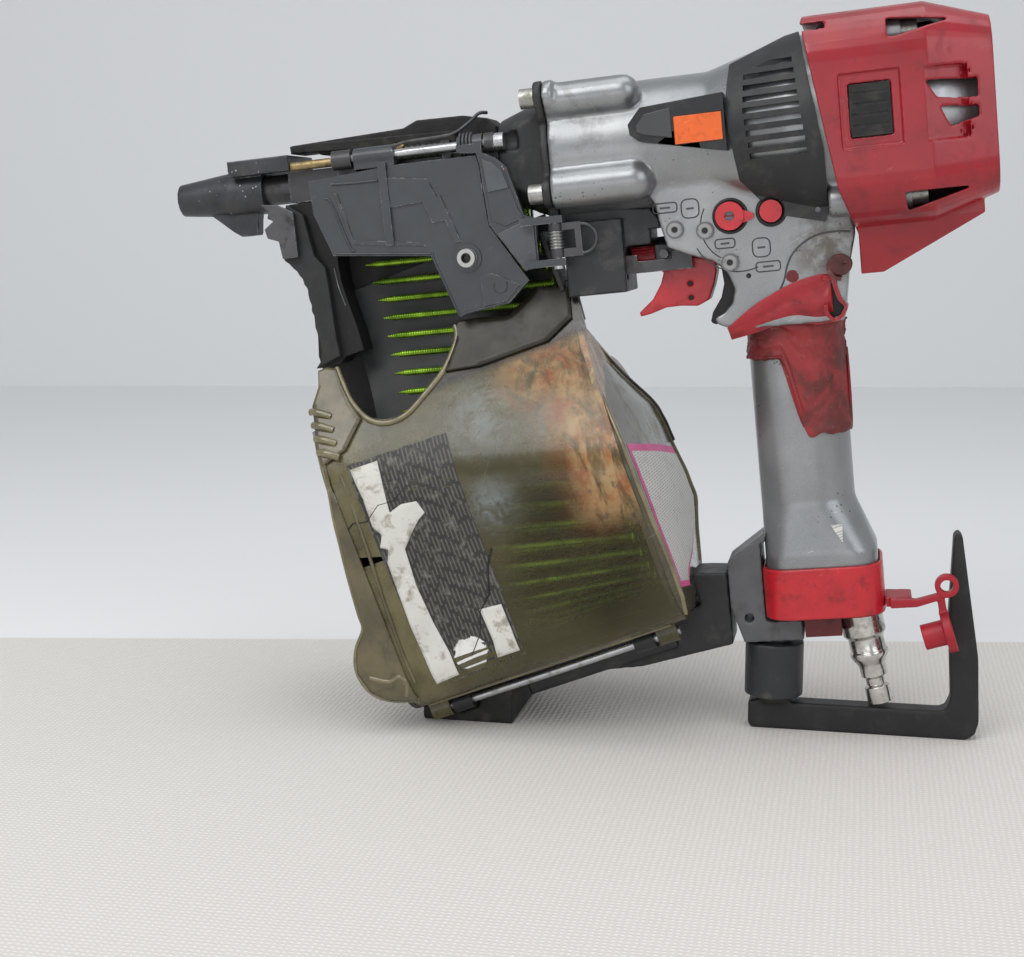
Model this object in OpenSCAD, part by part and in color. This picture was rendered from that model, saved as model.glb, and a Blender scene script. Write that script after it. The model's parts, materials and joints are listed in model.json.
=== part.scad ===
// Coil nailer, pneumatic, for 90 mm wire-collated nails.
// Tool axes: X along the barrel (rear is +X), Z up, Y away from the door side.
// The tool origin is on the barrel axis, in the front face of the body casting.
// The whole tool then stands on its belt hook and its magazine foot, so the
// barrel leans nose-down by lean_deg.

/* [Stance] */
// Angle of the barrel above level when the tool stands, degrees
lean_deg = 6; // [4:0.5:8]
// Height of the tool origin above the surface
stand_height = 273; // [268:1:280]

/* [Barrel] */
// Outer radius of the barrel behind the front flange
barrel_r = 31; // [30.5:0.5:32]
// Outer radius of the barrel where the cylinder cap bolts on
barrel_rear_r = 42; // [41:0.5:43]
// Length of the body casting along the barrel
barrel_len = 137.7; // [136:0.1:138]
// Bore of the cylinder sleeve, radius
cylinder_r = 22; // [20:0.5:22.5]
// Stroke of the piston
piston_stroke = 149.5; // [140:0.5:149.5]

/* [Handle] */
// Length of the handle section, front to back
handle_depth = 44; // [42:1:46]
// Width of the handle, side to side
handle_width = 36; // [34:1:37]
// Distance from the barrel axis to the bottom of the handle casting
handle_bottom = 205; // [200:1:206]
// Width of the web between barrel and handle
web_width = 48; // [46:1:50]

/* [Nose] */
// Distance from the tool origin to the fixed muzzle
muzzle_len = 170; // [165:1:172]
// Travel of the contact foot
contact_travel = 11; // [6:0.5:11]
// Diameter of the nail channel
channel_d = 8.4; // [7.6:0.1:9]

/* [Magazine] */
// Angle between the magazine axis and the barrel, degrees
coil_angle = 15.5; // [15:0.5:16]
// Outer radius of the magazine drum
drum_r = 63; // [62:0.5:64]
// Wall thickness of the magazine
drum_wall = 2.5; // [2:0.1:3]

/* [Nails] */
// Length of one nail
nail_len = 90; // [65:1:90]
// Shank diameter of one nail
nail_d = 3.1; // [2.5:0.1:3.4]
// Head diameter of one nail
nail_head_d = 6.8; // [6:0.1:7.2]
// Distance from nail to nail along the strip
nail_pitch = 9.2; // [8.5:0.1:10]
// Number of nails wound in the drum
coil_nails = 84; // [40:1:84]

/* [Hidden] */
$fn = 64;
fine = 0.05;             // radial clearance of a running fit
shift_x = -7.37;         // centres the tool's box on the frame's origin
shift_y = -8;
drum_y = 8;              // drum centre, away from the door side
drum_v = 160;            // drum centre, down from the barrel axis
head_u = -21.2;          // plane of the nail heads along the magazine axis
rear_disc_u = -12;       // outer face of the rear disc
front_disc_u = -152;     // outer face of the front disc
hinge_y = -30;           // magazine cover hinge line
hinge_v = 229;
door_y = -20;            // door hinge rod
door_z = 9.5;
trigger_x = 50;          // trigger pivot
trigger_z = -50;
valve_x = 63;            // trigger valve
knob_x = 81.8;           // mode knob
knob_z = -36.1;
button_x = 100.3;        // air duster button
button_z = -35.8;
post_x = 108.9;          // belt hook post, in the standing frame
piston_x = 18.5 + piston_stroke;  // front face of the piston at the top of its stroke
feed_u = -68;            // feed cylinder, in magazine axes
feed_y = 26;
latch_x = 2;             // latch pin
latch_y = -30;
front_bolts = [[-28, 26.5], [-28, -17], [28, 26.5], [28, -17]];
rear_bolts = [[-31, 35], [-31, -35], [31, 35], [31, -35]];
side_screws = [[56.2, -39.7], [69.9, -41.5], [80, -57]];

// ---- placing -------------------------------------------------------------

// Puts tool coordinates into the standing frame
module stand() {
    translate([shift_x, shift_y, stand_height]) rotate([0, -lean_deg, 0]) children();
}

// Puts upright pieces, measured from the tool origin, into the standing frame
module upright() {
    translate([shift_x, shift_y, 0]) children();
}

// Magazine coordinates: X along the drum axis, Z up out of the drum
module magazine_axes() {
    rotate([0, -coil_angle, 0]) children();
}

// A profile drawn in X and Z, pulled from y0 to y1
module side_plate(points, y0, y1) {
    translate([0, y1, 0]) rotate([90, 0, 0]) linear_extrude(y1 - y0) polygon(points);
}

// A profile drawn in Y and Z, pulled from x0 to x1
module cross_plate(x0, x1) {
    translate([x0, 0, 0]) rotate([90, 0, 90]) linear_extrude(x1 - x0) children();
}

module rod_x(x0, x1, r, y = 0, z = 0, r2 = -1) {
    translate([x0, y, z]) rotate([0, 90, 0]) cylinder(h = x1 - x0, r1 = r, r2 = r2 < 0 ? r : r2);
}

module rod_y(y0, y1, r, x = 0, z = 0) {
    translate([x, y0, z]) rotate([-90, 0, 0]) cylinder(h = y1 - y0, r = r);
}

module rod_z(z0, z1, r, x = 0, y = 0, r2 = -1) {
    translate([x, y, z0]) cylinder(h = z1 - z0, r1 = r, r2 = r2 < 0 ? r : r2);
}

module block(low, high) {
    translate(low) cube(high - low);
}

// Stadium outline, long side along X
module stadium(length, width) {
    half = (length - width) / 2;
    square([length - width, width], center = true);
    for (side = [-1, 1]) translate([side * half, 0]) circle(d = width);
}

// Rounded rectangle outline
module round_rect(length, width, r) {
    square([length - 2 * r, width], center = true);
    square([length, width - 2 * r], center = true);
    for (i = [-1, 1], j = [-1, 1])
        translate([i * (length / 2 - r), j * (width / 2 - r)]) circle(r);
}

// Coil spring drawn as stacked rings joined by a thin tube
module spring_x(x0, x1, r, wire, rings, y = 0, z = 0) {
    step = (x1 - x0 - wire) / (rings - 1);
    for (i = [0:rings - 1])
        translate([x0 + wire / 2 + i * step, y, z]) rotate([0, 90, 0])
            rotate_extrude() translate([r, 0]) circle(d = wire, $fn = 16);
    difference() {
        rod_x(x0 + wire / 4, x1 - wire / 4, r + wire / 6, y, z);
        rod_x(x0 - 1, x1 + 1, r - wire / 6, y, z);
    }
}

// ---- body casting ----------------------------------------------------------

module flange_outline(r) {
    circle(r);
    for (b = front_bolts) {
        translate(b) circle(7.2);
        rotate(atan2(b[1], b[0])) translate([0, -7]) square([norm(b) - 1, 14]);
    }
}

module barrel_solid(extra = 0) {
    rod_x(1.95, 75, barrel_r + extra);
    rod_x(75, 112, barrel_r + extra, r2 = barrel_rear_r + extra);
    rod_x(112, barrel_len, barrel_rear_r + extra);
}

web_outline = [[44, -20], [47.8, -27.5], [49.3, -36.8], [52, -47.6], [62, -52], [72.9, -56.1],
    [78.5, -62], [80.8, -69], [79.6, -75], [75.5, -79.5], [70.7, -81.6], [71.6, -84.6],
    [79.4, -88], [129.4, -88], [133.3, -62], [136.4, -50], [136.4, -20]];

module handle_flare() {
    hull() {
        translate([105.5, 0, -172]) linear_extrude(0.5) stadium(handle_depth, handle_width, $fn = 32);
        translate([110, 0, -196]) linear_extrude(0.5) round_rect(52, 45, 12, $fn = 32);
    }
}

module bolt_boss(y, z, r, length) {
    rod_x(2, 2 + length, r, y, z);
    translate([2 + length, y, z]) sphere(r);
}

module body_housing() color("silver") stand() {
    difference() {
        union() {
            barrel_solid();
            cross_plate(2, 7) flange_outline(28);
            for (side = [-1, 1]) {
                bolt_boss(side * 25, 24.5, 8, 36);
                bolt_boss(side * 26, -15.5, 9.5, 38);
            }
            for (b = rear_bolts) rod_x(126, barrel_len, 7, b[0], b[1]);
            side_plate(web_outline, -web_width / 2, web_width / 2);
            translate([105.5, 0, -172]) linear_extrude(90) stadium(handle_depth, handle_width);
            handle_flare();
            translate([110, 0, -handle_bottom]) linear_extrude(9.2) round_rect(52, 45, 12);
        }
        rod_x(1, 139, 27);
        rod_x(112, 139, 36);
        for (b = front_bolts) rod_x(1, 28, 3, b[0], b[1]);
        for (b = rear_bolts) rod_x(124, 139, 3, b[0], b[1]);
        // air chamber in the handle
        translate([105.5, 0, -206]) linear_extrude(166) stadium(30, 22);
        // trigger slot, with room on the door side for the lock bar
        block([44, -15.5, -63], [74.5, 10.5, -41]);
        rod_z(-42, -26.5, 8.1, valve_x, 0);
        rod_y(-25, 25, 2.05, trigger_x, trigger_z);
        // side pocket for the end of the contact arm
        block([38, 19.6, -48], [60, 25, -33]);
        rod_y(-25, -14, 6 + fine, knob_x, knob_z);
        rod_y(-25, -14, 5 + fine, button_x, button_z);
        for (s = side_screws, side = [-1, 1]) rod_y(side * 20 - 5, side * 20 + 5, 2, s[0], s[1]);
    }
}

module nose_flange() color("#2b2c2e") stand() {
    difference() {
        union() {
            cross_plate(-2, 1.9) flange_outline(29);
            intersection() {
                rod_x(-24, -2, 20, r2 = 28);
                block([-25, -18.5, -40], [0, 18.5, 40]);
            }
            block([-3, -18, -40], [1.9, 18, -15]);
        }
        rod_x(-30, 5, 2.6);
        rod_x(-1, 5, 21);
        for (b = front_bolts) rod_x(-5, 5, 3.1, b[0], b[1]);
        // way for the nail heads
        block([-26, -5, -60], [-11, 5, 4.5]);
        // recesses for the socket heads
        for (b = front_bolts) rod_x(-12, -1.8, 5, b[0], b[1]);
        // way for the hinge rod's cap
        rod_x(-30, -14, 5.2, door_y, door_z);
    }
}

module socket_bolt_x(x, y, z, head_r, head_len, r, length) {
    difference() {
        union() {
            rod_x(x - head_len, x, head_r, y, z);
            rod_x(x, x + length, r, y, z);
        }
        translate([x - head_len - 1, y, z]) rotate([0, 90, 0])
            cylinder(h = head_len, r = head_r * 0.55, $fn = 6);
    }
}

module flange_bolts() color("#d8d8d4") stand() {
    for (b = front_bolts) socket_bolt_x(-1.8, b[0], b[1], 4.6, 7, 2.9, 26);
}

module nose_guide() color("#4a4a48") stand() {
    difference() {
        union() {
            block([-132, -7.5, -7.5], [-24.1, 7.5, 7.5]);
            rod_x(-muzzle_len, -132, 7.3);
            // lugs that hold the door's hinge rod
            for (x = [[-104, -94.5], [-29, -24.5]]) {
                rod_x(x[0], x[1], 4.6, door_y, door_z);
                block([x[0], door_y, door_z - 3.5], [x[1], -14, door_z + 3.5]);
                block([x[0], -14, -1], [x[1], -7.4, 7.4]);
                block([x[0], -16, 0], [x[1], -13.5, 9]);
            }
            // lug that guides the rear of the contact rod
            block([-52, -13.5, 5], [-48, -7, 13.5]);
        }
        rod_x(-muzzle_len - 1, -20, channel_d / 2);
        block([-114, -4.2, -8], [-20, 4.2, 0]);
        for (x = [-104, -29]) rod_x(x - 1, x + 11, 2.2 + 0.02, door_y, door_z);
        rod_x(-105, -40, 2.2 + fine, -10.5, 9.7);
    }
}

module top_cover() color("#161616") stand() {
    side_plate([[-130, 16], [-130, 20], [-72, 22], [-65, 25], [-42, 24.6], [-30, 22],
        [-26, 18], [-26, 14], [-115, 14], [-116, 16]], -6, 16);
    block([-112, 8.2, 9], [-104, 16, 14]);
    block([-60, 8.2, 9], [-46, 16, 14]);
}

module door_hinge_rod() color("#b9bcc0") stand() {
    rod_x(-104, -24.6, 2.2, door_y, door_z);
    rod_x(-24.5, -20, 4, door_y, door_z);
}

module cylinder_sleeve() color("#c9ccd0") stand() {
    difference() {
        union() {
            rod_x(6, 184, 24);
            rod_x(8, 12, 26.95);
            rod_x(104, 110, 26.95);
        }
        rod_x(5, 185, cylinder_r);
        for (a = [0:30:330]) rotate([a, 0, 0]) rod_z(20, 26, 1.6, 40, 0);
    }
}

module bumper() color("#3a2f22") stand() {
    difference() {
        rod_x(6.2, 18, cylinder_r - 0.1);
        rod_x(5, 19, 3.2);
    }
}

module cylinder_cap() color("#9ea3a8") stand() {
    difference() {
        union() {
            rod_x(barrel_len + 0.1, 175.5, 41);
            rod_x(175.5, 189, 41, r2 = 34.6);
            rod_x(189, 195, 34.6, r2 = 33);
            for (b = rear_bolts) rod_x(barrel_len + 0.1, 162, 7, b[0], b[1]);
        }
        rod_x(130, 175.5, 36);
        rod_x(175, 190, 31.4);
        for (b = rear_bolts) rod_x(130, 163, 3.1, b[0], b[1]);
    }
}

module cap_bolts() color("#e2e2de") stand() {
    for (b = rear_bolts) difference() {
        union() {
            rod_x(162.1, 169, 5, b[0], b[1]);
            rod_x(128, 162.1, 2.9, b[0], b[1]);
        }
        translate([165, b[0], b[1]]) rotate([0, 90, 0]) cylinder(h = 5, r = 2.6, $fn = 6);
    }
}

// ---- rear cover -------------------------------------------------------------

module rear_cover_solid(inset) {
    hull() {
        for (i = [-1, 1], j = [-1, 1]) {
            rod_x(116 + inset, 172, 22 - inset, i * 27, j * 25, $fn = 32);
            rod_x(190, 199.5 - inset, 15 - inset, i * 25, j * 23, $fn = 32);
        }
    }
    hull() {
        block([132, -27 + inset, -46 + inset], [193 - inset, 27 - inset, -20]);
        block([138, -21 + inset, -68 + inset], [148 - inset, 21 - inset, -60]);
    }
}

module rear_cover() color("#b01f2c") stand() {
    difference() {
        rear_cover_solid(0);
        rear_cover_solid(3);
        // slanting front edge, and the way in for the web
        side_plate([[100, 60], [124, 60], [119.5, 43], [131, -30], [138, -50], [138, -80], [100, -80]], -60, 60);
        block([100, -43.5, -42.5], [130, 43.5, 42.5]);
        block([130, -24.5, -60], [137.9, 24.5, -20]);
        // windows: side pads, end vents and corner slots
        for (side = [-1, 1]) {
            // shallow frames round the pads and the vents
            block([134, side * 49 - 1.2, -13.5], [160, side * 49 + 1.2, 18.5]);
            translate([182, side * 44.8, 2]) rotate([0, 0, -side * 26.6])
                cube([25, 3, 31], center = true);
            block([138, side * 47.5 - 5, -9], [156, side * 47.5 + 5, 14]);
            side_plate([[170, 12], [192, 11], [192, 3], [175, 4.5]], side * 45 - 9, side * 45 + 9);
            side_plate([[176, 0.5], [192, -0.5], [192, -5], [180, -8]], side * 45 - 9, side * 45 + 9);
            side_plate([[156, 40], [183, 37], [160, 32], [156, 32]], side * 42 - 12, side * 42 + 12);
            side_plate([[159, -34], [189, -34], [160, -42]], side * 42 - 12, side * 42 + 12);
        }
    }
}

module side_pads() color("#242424") stand() {
    for (side = [-1, 1]) difference() {
        block([138.4, side * 45.5 - 2.5, -8.6], [155.6, side * 45.5 + 2.5, 13.6]);
        for (i = [0:3]) translate([146.8, side * 48.2, -4 + i * 4.6])
            cube([15, 1, 1], center = true);
    }
}

// ---- side covers ------------------------------------------------------------

module louvre_shell(inner, outer) {
    rod_x(84, 120, inner, r2 = outer);
    rod_x(120, 131, outer);
}

module louvre_cover() {
    difference() {
        intersection() {
            union() {
                louvre_shell(37.5, 46.2);
                side_plate([[88, -19], [102, -37.5], [123.8, -43], [128.9, -34], [126, -16]], -28.5, -24.2);
            }
            side_plate([[86.9, 31], [84, 10], [87.9, -21], [102.5, -38], [123.8, -43.2],
                [128.9, -32], [118.3, 42], [112, 41]], -60, -8);
        }
        difference() {
            barrel_solid(0.15);
            rod_x(130, 140, 60);
        }
        block([126, -60, -60], [140, 0, -10]);
        block([80, -24.1, -60], [140, 0, -20]);
        for (i = [0:8]) block([92 + abs(i - 4) * 0.4, -60, 27.5 - i * 5], [115 + i * 0.5, -30, 30 - i * 5]);
        rod_y(-60, 0, 1.4, 121, -37.5);
        for (b = rear_bolts) rod_x(125.8, 140, 7.2, b[0], b[1]);
    }
}

module louvre_cover_near() color("#232427") stand() difference() {
    louvre_cover();
    rod_y(-60, -10, 6.4, button_x, button_z);
}

module louvre_cover_far() color("#232427") stand() {
    mirror([0, 1, 0]) louvre_cover();
}

module side_panel() {
    difference() {
        side_plate([[41, 8.7], [47, 15.5], [85.4, 18.1], [85.4, -7.8], [45.6, 0.7], [41.5, 4]], -40, -20);
        barrel_solid(0.15);
        side_plate([[61.3, 10], [83, 10], [83, -2.6], [61.3, -2.6]], -45, -39.4);
        block([84, -40, -30], [90, 0, 30]);
    }
}

module side_panel_near() color("#1e1f22") stand() {
    side_panel();
}

module side_panel_far() color("#1e1f22") stand() {
    mirror([0, 1, 0]) side_panel();
}

module blank_badges() color("#e8641e") stand() {
    for (side = [-1, 1]) block([61.5, side * 39.9 - 0.45, -2.4], [82.8, side * 39.9 + 0.45, 9.8]);
}

module web_screws() color("#c0c0bc") stand() {
    for (s = side_screws, side = [-1, 1]) difference() {
        union() {
            rod_y(side * 25.1 - 1, side * 25.1 + 1, 4, s[0], s[1]);
            rod_y(side * 20.5 - 3.7, side * 20.5 + 3.7, 1.9, s[0], s[1]);
        }
        rod_y(side * 26.2 - 1, side * 26.2 + 1, 1.6, s[0], s[1]);
    }
}

// ---- trigger group ------------------------------------------------------------

module trigger_pin() color("#c8c8c8") stand() {
    rod_y(-24, 24, 2, trigger_x, trigger_z);
}

module trigger_valve_body() color("#8d8f92") stand() {
    difference() {
        rod_z(-45.5, -27, 8, valve_x, 0);
        rod_z(-47, -30, 2.5 + fine, valve_x, 0);
    }
}

module valve_stem() color("#d2b25a") stand() {
    rod_z(-49.5, -34, 2.5, valve_x, 0);
}

module trigger() color("#c81e30") stand() {
    difference() {
        union() {
            side_plate([[47.5, -58], [45.5, -64], [41, -71], [34.2, -76.6], [34.6, -78.6], [40, -77.6],
                [47, -75.4], [54, -75.2], [62, -76], [67.5, -73.5], [70.3, -67], [72, -61],
                [72, -57.5], [56, -57.5]], -7.5, 7.5);
            for (side = [-1, 1])
                side_plate([[46, -58.4], [72, -58.4], [72, -55], [58, -52], [54.5, -46.5],
                    [47, -46.5], [45.2, -51]], side * 6 - 1.5, side * 6 + 1.5);
            block([57, -5, -57.8], [70, 5, -50.2]);
        }
        rod_y(-10, 10, 2 + fine, trigger_x, trigger_z);
        rod_y(-10, 10, 1.3, 59.3, -65.2);
        rod_y(-10, 10, 1.2, 59.2, -71.8);
    }
}

module mode_knob() color("#d8202f") stand() {
    difference() {
        union() {
            rod_y(-30, -24.3, 6.4, knob_x, knob_z);
            rod_y(-24.4, -15, 6, knob_x, knob_z);
            side_plate([[81, -32], [89.5, -34.6], [92.4, -36], [92.4, -38], [89.5, -39.2], [81, -41]], -28.5, -24.3);
        }
        rod_y(-31, -28, 2.2, knob_x, knob_z);
    }
}

module duster_button() color("#b81c2c") stand() {
    rod_y(-28.4, -16, 5, button_x, button_z);
}

module arm_guide() color("#3c3e42") stand() {
    difference() {
        union() {
            block([3, -19, -66], [31, 19, -31.5]);
            block([31, -14, -45], [43.5, 14, -32]);
            rod_x(30, 44.5, 2.5, 0, -51.5);
        }
        block([6, -16, -62.5], [28.5, 16, -47.5]);
        block([13, 15, -57], [30, 20, -48]);
        block([13, -15.2, -60], [32, -10.4, -48]);
        // clearance round the barrel and its lower bosses
        barrel_solid(0.1);
        for (side = [-1, 1]) bolt_boss(side * 26, -15.5, 9.6, 38);
    }
}

module depth_dial() color("#a8222c") stand() {
    difference() {
        rod_x(32.5, 43.7, 5.8, 0, -51.5);
        rod_x(32, 45, 2.5 + fine, 0, -51.5);
        for (a = [0:20:340]) translate([0, 0, -51.5]) rotate([a, 0, 0])
            block([31, -0.45, 5.2], [45, 0.45, 7]);
    }
}

// ---- contact group --------------------------------------------------------------

module contact_foot() color("#3b3d41") stand() {
    difference() {
        union() {
            rod_x(-191, -163, 7.8, r2 = 11);
            rod_x(-163, -145.3, 11);
            block([-160, -15, 8], [-128.8, 23, 15.4]);
            side_plate([[-178, -7], [-164.5, -18.5], [-160.9, -20.9], [-152.5, -20.9], [-150.6, -9]], -4, 4);
        }
        rod_x(-192, -145, channel_d / 2 + 0.3);
        rod_x(-182, -140, 7.3 + fine);
        block([-146, -8.2, 0], [-128, 8.2, 8.6]);
        for (a = [0:60:300]) rotate([a, 0, 0]) translate([-192, 0, 6]) rotate([45, 0, 0])
            cube([3.4, 1.6, 1.6], center = true);
    }
}

module contact_arm() color("#46484c") stand() {
    side_plate([[-150, 7.9], [-150, 2], [-60, 0], [-28, 0], [-28, -46], [13.4, -46],
        [13.4, -56], [17, -56], [17, -46], [31, -46], [31, -36], [-18, -36], [-18, 7.9]], 20, 23);
    block([13.4, -11, -56], [17, 20.1, -49.4]);
    difference() {
        block([13.4, -14.3, -58], [62, -11, -49.4]);
        // notch that lets the lock bar run past the trigger pin
        block([trigger_x - contact_travel - 2.5, -15, -52.5], [trigger_x + 2.5, -10, -49]);
    }
}

module contact_rod() color("#b99b5e") stand() {
    rod_x(-128.7, -60, 2.2, -10.5, 9.7);
    rod_x(-60, -38, 2.2, -10.5, 9.7);
    difference() {
        rod_x(-93.5, -91, 3.1, -10.5, 9.7);
        rod_x(-94, -90, 2.2, -10.5, 9.7);
    }
}

module contact_spring() color("#9a9a96") stand() {
    spring_x(-90.8, -52.2, 2.9, 0.9, 14, -10.5, 9.7);
}

// ---- door and latch ---------------------------------------------------------------

door_outline = [[-116.4, 1], [-115.7, -14.8], [-108.1, -35.2], [-60.1, -40], [-49.7, -69.6],
    [-24.8, -65.8], [-14, -55.9], [-30.8, -28.5], [-32.6, -0.4], [-33.5, 4.2], [-73.3, 4.2]];

module door() color("#55585e") stand() {
    difference() {
        union() {
            side_plate(door_outline, -24, -20);
            side_plate([[-93, 4], [-93, 10], [-73.3, 10], [-73.3, 4]], -24, -20);
            rod_x(-93, -73.3, 4.6, door_y, door_z);
            block([-81, -26, -33], [-77, -23.9, 6]);
            // raised panels: left edge strip, step beside the rib, line down to the screw, lower lobe
            side_plate([[-104, -6], [-98, -30.5], [-62, -35], [-62, -33.5], [-97, -29], [-102.8, -6]], -24.7, -23.9);
            side_plate([[-77.1, -1.5], [-58, -4], [-49, -24], [-57.5, -24.5], [-61, -14.5], [-77.1, -15.5]], -25.1, -23.9);
            side_plate([[-54.5, -13], [-52.5, -12], [-44.6, -34.4], [-47.6, -35]], -25.1, -23.9);
            side_plate([[-37, -51.5], [-31, -51], [-18.5, -57.5], [-25.6, -64.4], [-36.6, -66.2]], -24.9, -23.9);
        }
        rod_x(-94, -72, 2.2 + fine, door_y, door_z);
        rod_y(-26, -19, 2.6, -42.2, -42.7);
    }
}

module door_arm() color("#50535a") stand() {
    difference() {
        union() {
            side_plate([[-42, 6], [-42, 9.5], [-30, 9.5], [-30, 5], [-24, 2], [-19, -3], [-13, -25.6],
                [-8, -27.6], [-8, -50.6], [-15, -51.5], [-30, -28.3], [-31.8, -0.4], [-32.8, 5]], -26, -22);
            rod_x(-42, -30, 4.6, door_y, door_z);
            block([-14, -33, -31], [6, -25.9, -27.6]);
            block([-14, -33, -50.6], [6, -25.9, -47.2]);
        }
        // clear of the door plate's own step
        side_plate(door_outline, -24.05, -19.9);
        rod_x(-43, -29, 2.2 + fine, door_y, door_z);
        rod_z(-52, -26, 1.55, latch_x, latch_y);
    }
}

module door_screw() color("#cfcfcb") stand() {
    difference() {
        union() {
            rod_y(-24.9, -24.05, 6.6, -42.2, -42.7);
            rod_y(-28.5, -24.9, 4.3, -42.2, -42.7);
            rod_y(-24.05, -18.5, 2.5, -42.2, -42.7);
        }
        translate([-42.2, -30, -42.7]) rotate([-90, 0, 0]) cylinder(h = 4, r = 2.3, $fn = 6);
    }
}

module latch_pin() color("#c9cbcd") stand() {
    rod_z(-50.6, -27.6, 1.5, latch_x, latch_y);
    rod_z(-52, -50.6, 2.6, latch_x, latch_y);
}

module latch_spring() color("#a9abad") stand() {
    translate([latch_x, latch_y, -38.8]) for (i = [0:5]) translate([0, 0, -3.6 + i * 1.45])
        rotate_extrude() translate([2.9, 0]) circle(d = 1.1, $fn = 16);
    translate([latch_x, latch_y, 0]) difference() {
        rod_z(-42.6, -35, 3);
        rod_z(-43, -34, 2.75);
    }
}

module latch_lever() color("#77797d") stand() {
    difference() {
        union() {
            rod_z(-34.6, -31.3, 3.4, latch_x, latch_y);
            rod_z(-46.9, -43, 3.4, latch_x, latch_y);
            block([latch_x, latch_y - 1.2, -34.6], [14, latch_y + 1.2, -31.3]);
            block([latch_x, latch_y - 1.2, -46.9], [14, latch_y + 1.2, -43]);
            block([11, latch_y - 1.2, -46.9], [14, latch_y + 1.2, -31.3]);
            translate([14, latch_y, -39.1]) rotate([90, 90, 0])
                rotate_extrude(angle = 180) translate([6.7, 0]) circle(d = 1.8, $fn = 20);
        }
        rod_z(-50, -28, 1.58, latch_x, latch_y);
    }
}

// ---- magazine ------------------------------------------------------------------------

// Smooth step from 0 to 1
function ease(t) = let (c = min(max(t, 0), 1)) c * c * (3 - 2 * c);
// Where the nail strip runs across the tool, at v below the barrel axis
function strip_y(v) = (drum_y - 53) * ease((v - 45) / 105);

module drum_outline(inset) {
    r = drum_r - inset;
    translate([drum_y, -drum_v]) circle(r, $fn = 96);
    translate([-35, -204]) circle(20 - inset);
    polygon([[-35, -224 + inset], [drum_y, -224 + inset], [drum_y, -150], [-55 + inset, -150],
        [-55 + inset, -204], [-35, -204]]);
    translate([-54, -150]) square([0.5, 0.5]);
}

// Wall that follows the nail strip at a distance, from v0 to v1
module strip_wall(distance, thick, v0, v1, step = 8) {
    polygon(concat(
        [for (v = [v0:step:v1]) [strip_y(v) + distance, -v]],
        [for (v = [v1:-step:v0]) [strip_y(v) + distance + thick, -v]]));
}

module base_profile() {
    difference() {
        drum_outline(0);
        drum_outline(drum_wall);
        polygon([[-80, -60], [-22, -60], [-22, -160], [-29.7, -160], [-29.7, -240], [-80, -240]]);
    }
}

module base_disc_outline() {
    drum_outline(0);
    polygon([[-54.9, -150], [-50, -118], [-30, -86], [-14, -78], [-2, -78], [drum_y, -100], [drum_y, -150]]);
}

module magazine_base() color("#191919") stand() magazine_axes() {
    cross_plate(front_disc_u + 2.4, rear_disc_u - 3) base_profile();
    cross_plate(front_disc_u, front_disc_u + 2.5) base_disc_outline();
    // back of the feed neck, and its rear wall behind the nail heads
    cross_plate(-128, -16) strip_wall(6.5, 2.5, 22, 102);
    cross_plate(-18, -16) polygon([[-15, -31], [7, -31], [9, -60], [-15, -60]]);
    // post that the coil turns on
    difference() {
        rod_x(front_disc_u + 2, -34, 12, drum_y, -drum_v);
        rod_x(-140, -33, 9, drum_y, -drum_v);
    }
    // lugs for the cover's hinge pin
    for (u = [-137, -42]) difference() {
        union() {
            rod_x(u, u + 10, 4.4, hinge_y, -hinge_v);
            block([u, hinge_y, -hinge_v - 4.4], [u + 10, -14, -hinge_v + 5.2]);
        }
        rod_x(u - 1, u + 11, 2.02, hinge_y, -hinge_v);
    }
}

module coil_tray() color("#2a2a2a") stand() magazine_axes() {
    difference() {
        rod_x(-116, -113, 56, drum_y, -drum_v);
        rod_x(-117, -112, 12.1, drum_y, -drum_v);
    }
}

module cover_hinge_pin() color("#bfc1c3") stand() magazine_axes() {
    rod_x(-149, -19, 2, hinge_y, -hinge_v);
}

module cover_window() {
    // opening that shows the strip between cover and door
    translate([-107, -62]) circle(25.5);
    polygon([[-132.5, -62], [-132.5, -40], [-60, -40], [-60, -58], [-66, -64], [-80, -74],
        [-90, -81], [-100, -86]]);
}

module cover_near_profile() {
    difference() {
        drum_outline(0);
        drum_outline(drum_wall);
        polygon([[-80, -60], [100, -60], [100, -240], [-30.3, -240], [-30.3, -160], [-40, -148.5], [-80, -148.5]]);
    }
}

// The same wall drawn square to the barrel, v0 to v1 measured at the nail heads
module nail_wall(v0 = 50, v1 = 178, step = 4) {
    drop = -head_u * sin(coil_angle);
    polygon(concat(
        [for (v = [v0:step:v1]) [strip_y(v) - 10, -v * cos(coil_angle) - drop]],
        [for (v = [v1:-step:v0]) [strip_y(v) - 10 + drum_wall, -v * cos(coil_angle) - drop]]));
}

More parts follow.
